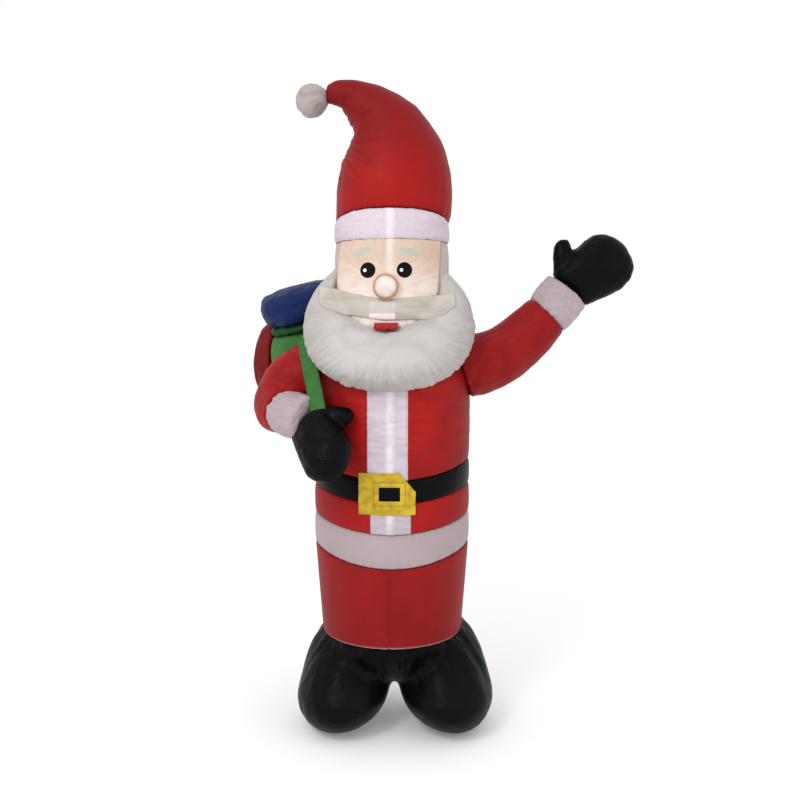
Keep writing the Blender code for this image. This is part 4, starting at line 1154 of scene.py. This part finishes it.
# %% [markdown]
# ## The sack
# The sack is a tight green bag with a band round its mouth, a folded hem of the same
# green cloth that is painted darker as shade. A blue pillow stands in it as a gift, and a
# gathered red pouch hangs behind its outer side.

# %% Sack, its collar, the gift and the pouch
for node, material, slot, voxel, folds_per_metre, depth, light in (
    ("sack", GREEN, "green_cloth", 0.0096, (14.0, 14.0, 4.0), 0.003, 0.6),
    # The collar is the sack's own green cloth, painted darker as shade.
    ("sack_collar", GREEN_IN_SHADE, "dark_green_cloth", 0.006, (40.0, 40.0, 15.0), 0.003, 0.4),
    ("gift", BLUE, "blue_cloth", 0.0073, (13.0, 13.0, 24.0), 0.006, 0.4),
    ("sack_back", DARK_RED, "dark_red_cloth", 0.0073, (24.0, 24.0, 4.0), 0.007, 0.5),
):
    bag = air_bag(node, voxel, rounds=4, slack=0.03, cap=0.004, inset=0.001)
    folds = creases(points_of(bag), folds_per_metre, seed=80.0 + len(node))
    press(bag, folds, depth)
    write_attribute(bag, "crush", 0.3)
    write_attribute(bag, "light", light)
    finish_piece(bag, material, node)

# %% [markdown]
# The strap, the lip and the buckle hold no air: they are flat pieces with a hem, so
# each starts as a grid that is cut to shape and bent to lie where it is sewn on. The
# strap runs from the sack over the shoulder, down past the beard and into the mitten.

# %% Strap
STRAP_WIDTH, STRAP_THICKNESS, STRAP_STEP = 0.042, 0.003, 0.004
STRAP_LINE = (  # outwards from the tube's side, forwards, and down from the neck
    (0.030, -0.130, 0.035),
    (0.030, -0.060, 0.020),
    (0.026, 0.015, 0.028),
    (0.012, 0.090, 0.070),
    (-0.006, 0.155, 0.130),
    (-0.022, 0.200, 0.190),
    (-0.032, 0.225, 0.235),
)


def along_line(stops, shares):
    """Points on a smooth line through the stops."""
    stops = np.array(stops)
    stops = np.vstack([2 * stops[0] - stops[1], stops, 2 * stops[-1] - stops[-2]])
    place = shares * (len(stops) - 3)
    first = np.minimum(place.astype(int), len(stops) - 4)
    t = (place - first)[:, None]
    p0, p1, p2, p3 = (stops[first + i] for i in range(4))
    return 0.5 * (
        2 * p1 + (p2 - p0) * t + (2 * p0 - 5 * p1 + 4 * p2 - p3) * t**2
        + (3 * p1 - p0 - 3 * p2 + p3) * t**3
    )


strap, along, across = flat_grid("strap_cloth", 110, 12)
stops = [(-BODY_RADIUS - out, -forward, NECK_Z - down) for out, forward, down in STRAP_LINE]
middle = along_line(stops, along)
after = along_line(stops, np.minimum(along + STRAP_STEP, 1.0))
before = along_line(stops, np.maximum(along - STRAP_STEP, 0.0))
ahead = after - before
wide = np.cross(ahead, np.array((-0.35, -0.6, 0.7)))
wide /= np.linalg.norm(wide, axis=1)[:, None]
put_points(strap, middle + wide * STRAP_WIDTH * (across - 0.5)[:, None] + np.array(AXIS))
unrolled = np.stack([along * 0.5, across * 0.04, 0 * along], axis=1)
folds = creases(unrolled, (40.0, 14.0, 1.0), seed=90.0)
press(strap, folds, 0.0012)
write_attribute(strap, "seam", bell(np.minimum(across, 1 - across) - 0.12, 0.03))
write_attribute(strap, "light", 0.6)
apply_modifier(strap, "SOLIDIFY", thickness=STRAP_THICKNESS, offset=0.0)
finish_piece(strap, GREEN, "strap")

# %% [markdown]
# The lip is a red strip with a wavy lower edge that curves forward over the beard.

# %% Lip
LIP_WIDTH, LIP_LENGTH, LIP_THICKNESS = 0.062, 0.055, 0.004
lip, across, up = flat_grid("lip_cloth", 48, 14)
wavy = 0.003 * np.abs(np.sin(3.5 * np.pi * across)) * (1.0 - up) ** 2
x = -0.014 + (across - 0.5) * LIP_WIDTH
y = -(HEAD_RADIUS + 0.001) - 0.052 * (1.0 - up)
z = NECK_Z + 0.011 - 0.013 * (1.0 - up) ** 2 - wavy
put_points(lip, np.stack([x, y, z], axis=1) + np.array(AXIS))
write_attribute(lip, "light", 0.6)
apply_modifier(lip, "SOLIDIFY", thickness=LIP_THICKNESS, offset=0.0)
finish_piece(lip, RED_LIP, "lip")

# %% [markdown]
# The buckle is yellow cloth, turned in all round and sewn on over the belt, with a
# square window. One corner is cut off. Raised stitching frames the window, and the loose
# cloth between the seams lies in small waves.

# %% Buckle
BUCKLE_WIDTH, BUCKLE_HEIGHT, BUCKLE_X = 0.149, 0.110, -0.012
WINDOW_X, WINDOW_WIDTH, WINDOW_HEIGHT = BUCKLE_X + 0.007, 0.056, 0.037
BUCKLE_THICKNESS = 0.002
BUCKLE_Z = (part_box("buckle")[0][2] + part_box("buckle")[1][2]) / 2

buckle, across, up = flat_grid("buckle_cloth", 74, 54)
x = BUCKLE_X + (across - 0.5) * BUCKLE_WIDTH
corner = np.clip((across - 0.72) / 0.28, 0.0, 1.0)
top = BUCKLE_HEIGHT / 2 * (1.0 - 0.9 * corner)
z = -BUCKLE_HEIGHT / 2 + up * (top + BUCKLE_HEIGHT / 2)
put_points(buckle, np.stack([x, 0.0 * x, z], axis=1))
pick(buckle)
bpy.ops.object.mode_set(mode="EDIT")
bpy.ops.mesh.select_all(action="DESELECT")
bpy.ops.mesh.select_mode(type="FACE")
shape = bmesh.from_edit_mesh(buckle.data)
for cell in shape.faces:
    middle = cell.calc_center_median()
    in_width = abs(middle.x - WINDOW_X) < WINDOW_WIDTH / 2
    cell.select_set(in_width and abs(middle.z) < WINDOW_HEIGHT / 2)
bmesh.update_edit_mesh(buckle.data)
bpy.ops.mesh.delete(type="FACE")
bpy.ops.object.mode_set(mode="OBJECT")
points = points_of(buckle)
x, z = points[:, 0], points[:, 2]
from_window = np.maximum(np.abs(x - WINDOW_X) - WINDOW_WIDTH / 2, np.abs(z) - WINDOW_HEIGHT / 2)
waves = creases(points, (22.0, 1.0, 30.0), seed=33.0)
out = BODY_RADIUS + 0.0045 + 0.0022 * (waves + 0.6) + 0.0022 * bell(from_window - 0.006, 0.003)
turn = x / BODY_RADIUS
placed = np.stack([out * np.sin(turn), -out * np.cos(turn), BUCKLE_Z + z], axis=1)
put_points(buckle, placed + np.array(AXIS))
write_attribute(buckle, "seam", 0.8 * bell(from_window - 0.012, 0.0015))
# Painted shade in the troughs of the waves, and painted light on their crests.
write_attribute(buckle, "crease_shade", np.clip(-waves - 0.5, 0.0, 1.0))
write_attribute(buckle, "light", 0.6 + 0.5 * waves)
apply_modifier(buckle, "SOLIDIFY", thickness=BUCKLE_THICKNESS, offset=0.0)
finish_piece(buckle, YELLOW, "buckle")

# %% [markdown]
# The floor is plain white paper. It glows a little, so that it stays as white as the
# surroundings and only the soft shadow of the figure shows on it.

# %% Floor
deselect_all()
bpy.ops.mesh.primitive_plane_add(size=16.0, location=(0.0, 0.0, GROUND_Z))
floor = bpy.context.object
floor.name = "floor"
paper = bpy.data.materials.new("white_paper")
paper.use_nodes = True
paper_shader = paper.node_tree.nodes["Principled BSDF"]
paper_shader.inputs["Base Color"].default_value = (0.9, 0.9, 0.9, 1.0)
paper_shader.inputs["Roughness"].default_value = 0.9
paper_shader.inputs["Specular IOR Level"].default_value = 0.0
paper_shader.inputs["Emission Color"].default_value = (1.0, 1.0, 1.0, 1.0)
paper_shader.inputs["Emission Strength"].default_value = 0.12
floor.data.materials.append(paper)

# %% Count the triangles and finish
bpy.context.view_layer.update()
triangles = {
    piece.name: sum(len(cell.vertices) - 2 for cell in piece.data.polygons)
    for piece in bpy.data.objects
    if piece.type == "MESH" and piece.name.endswith("_cloth")
}
print("triangles in all:", sum(triangles.values()), "most in one piece:", max(triangles.values()))
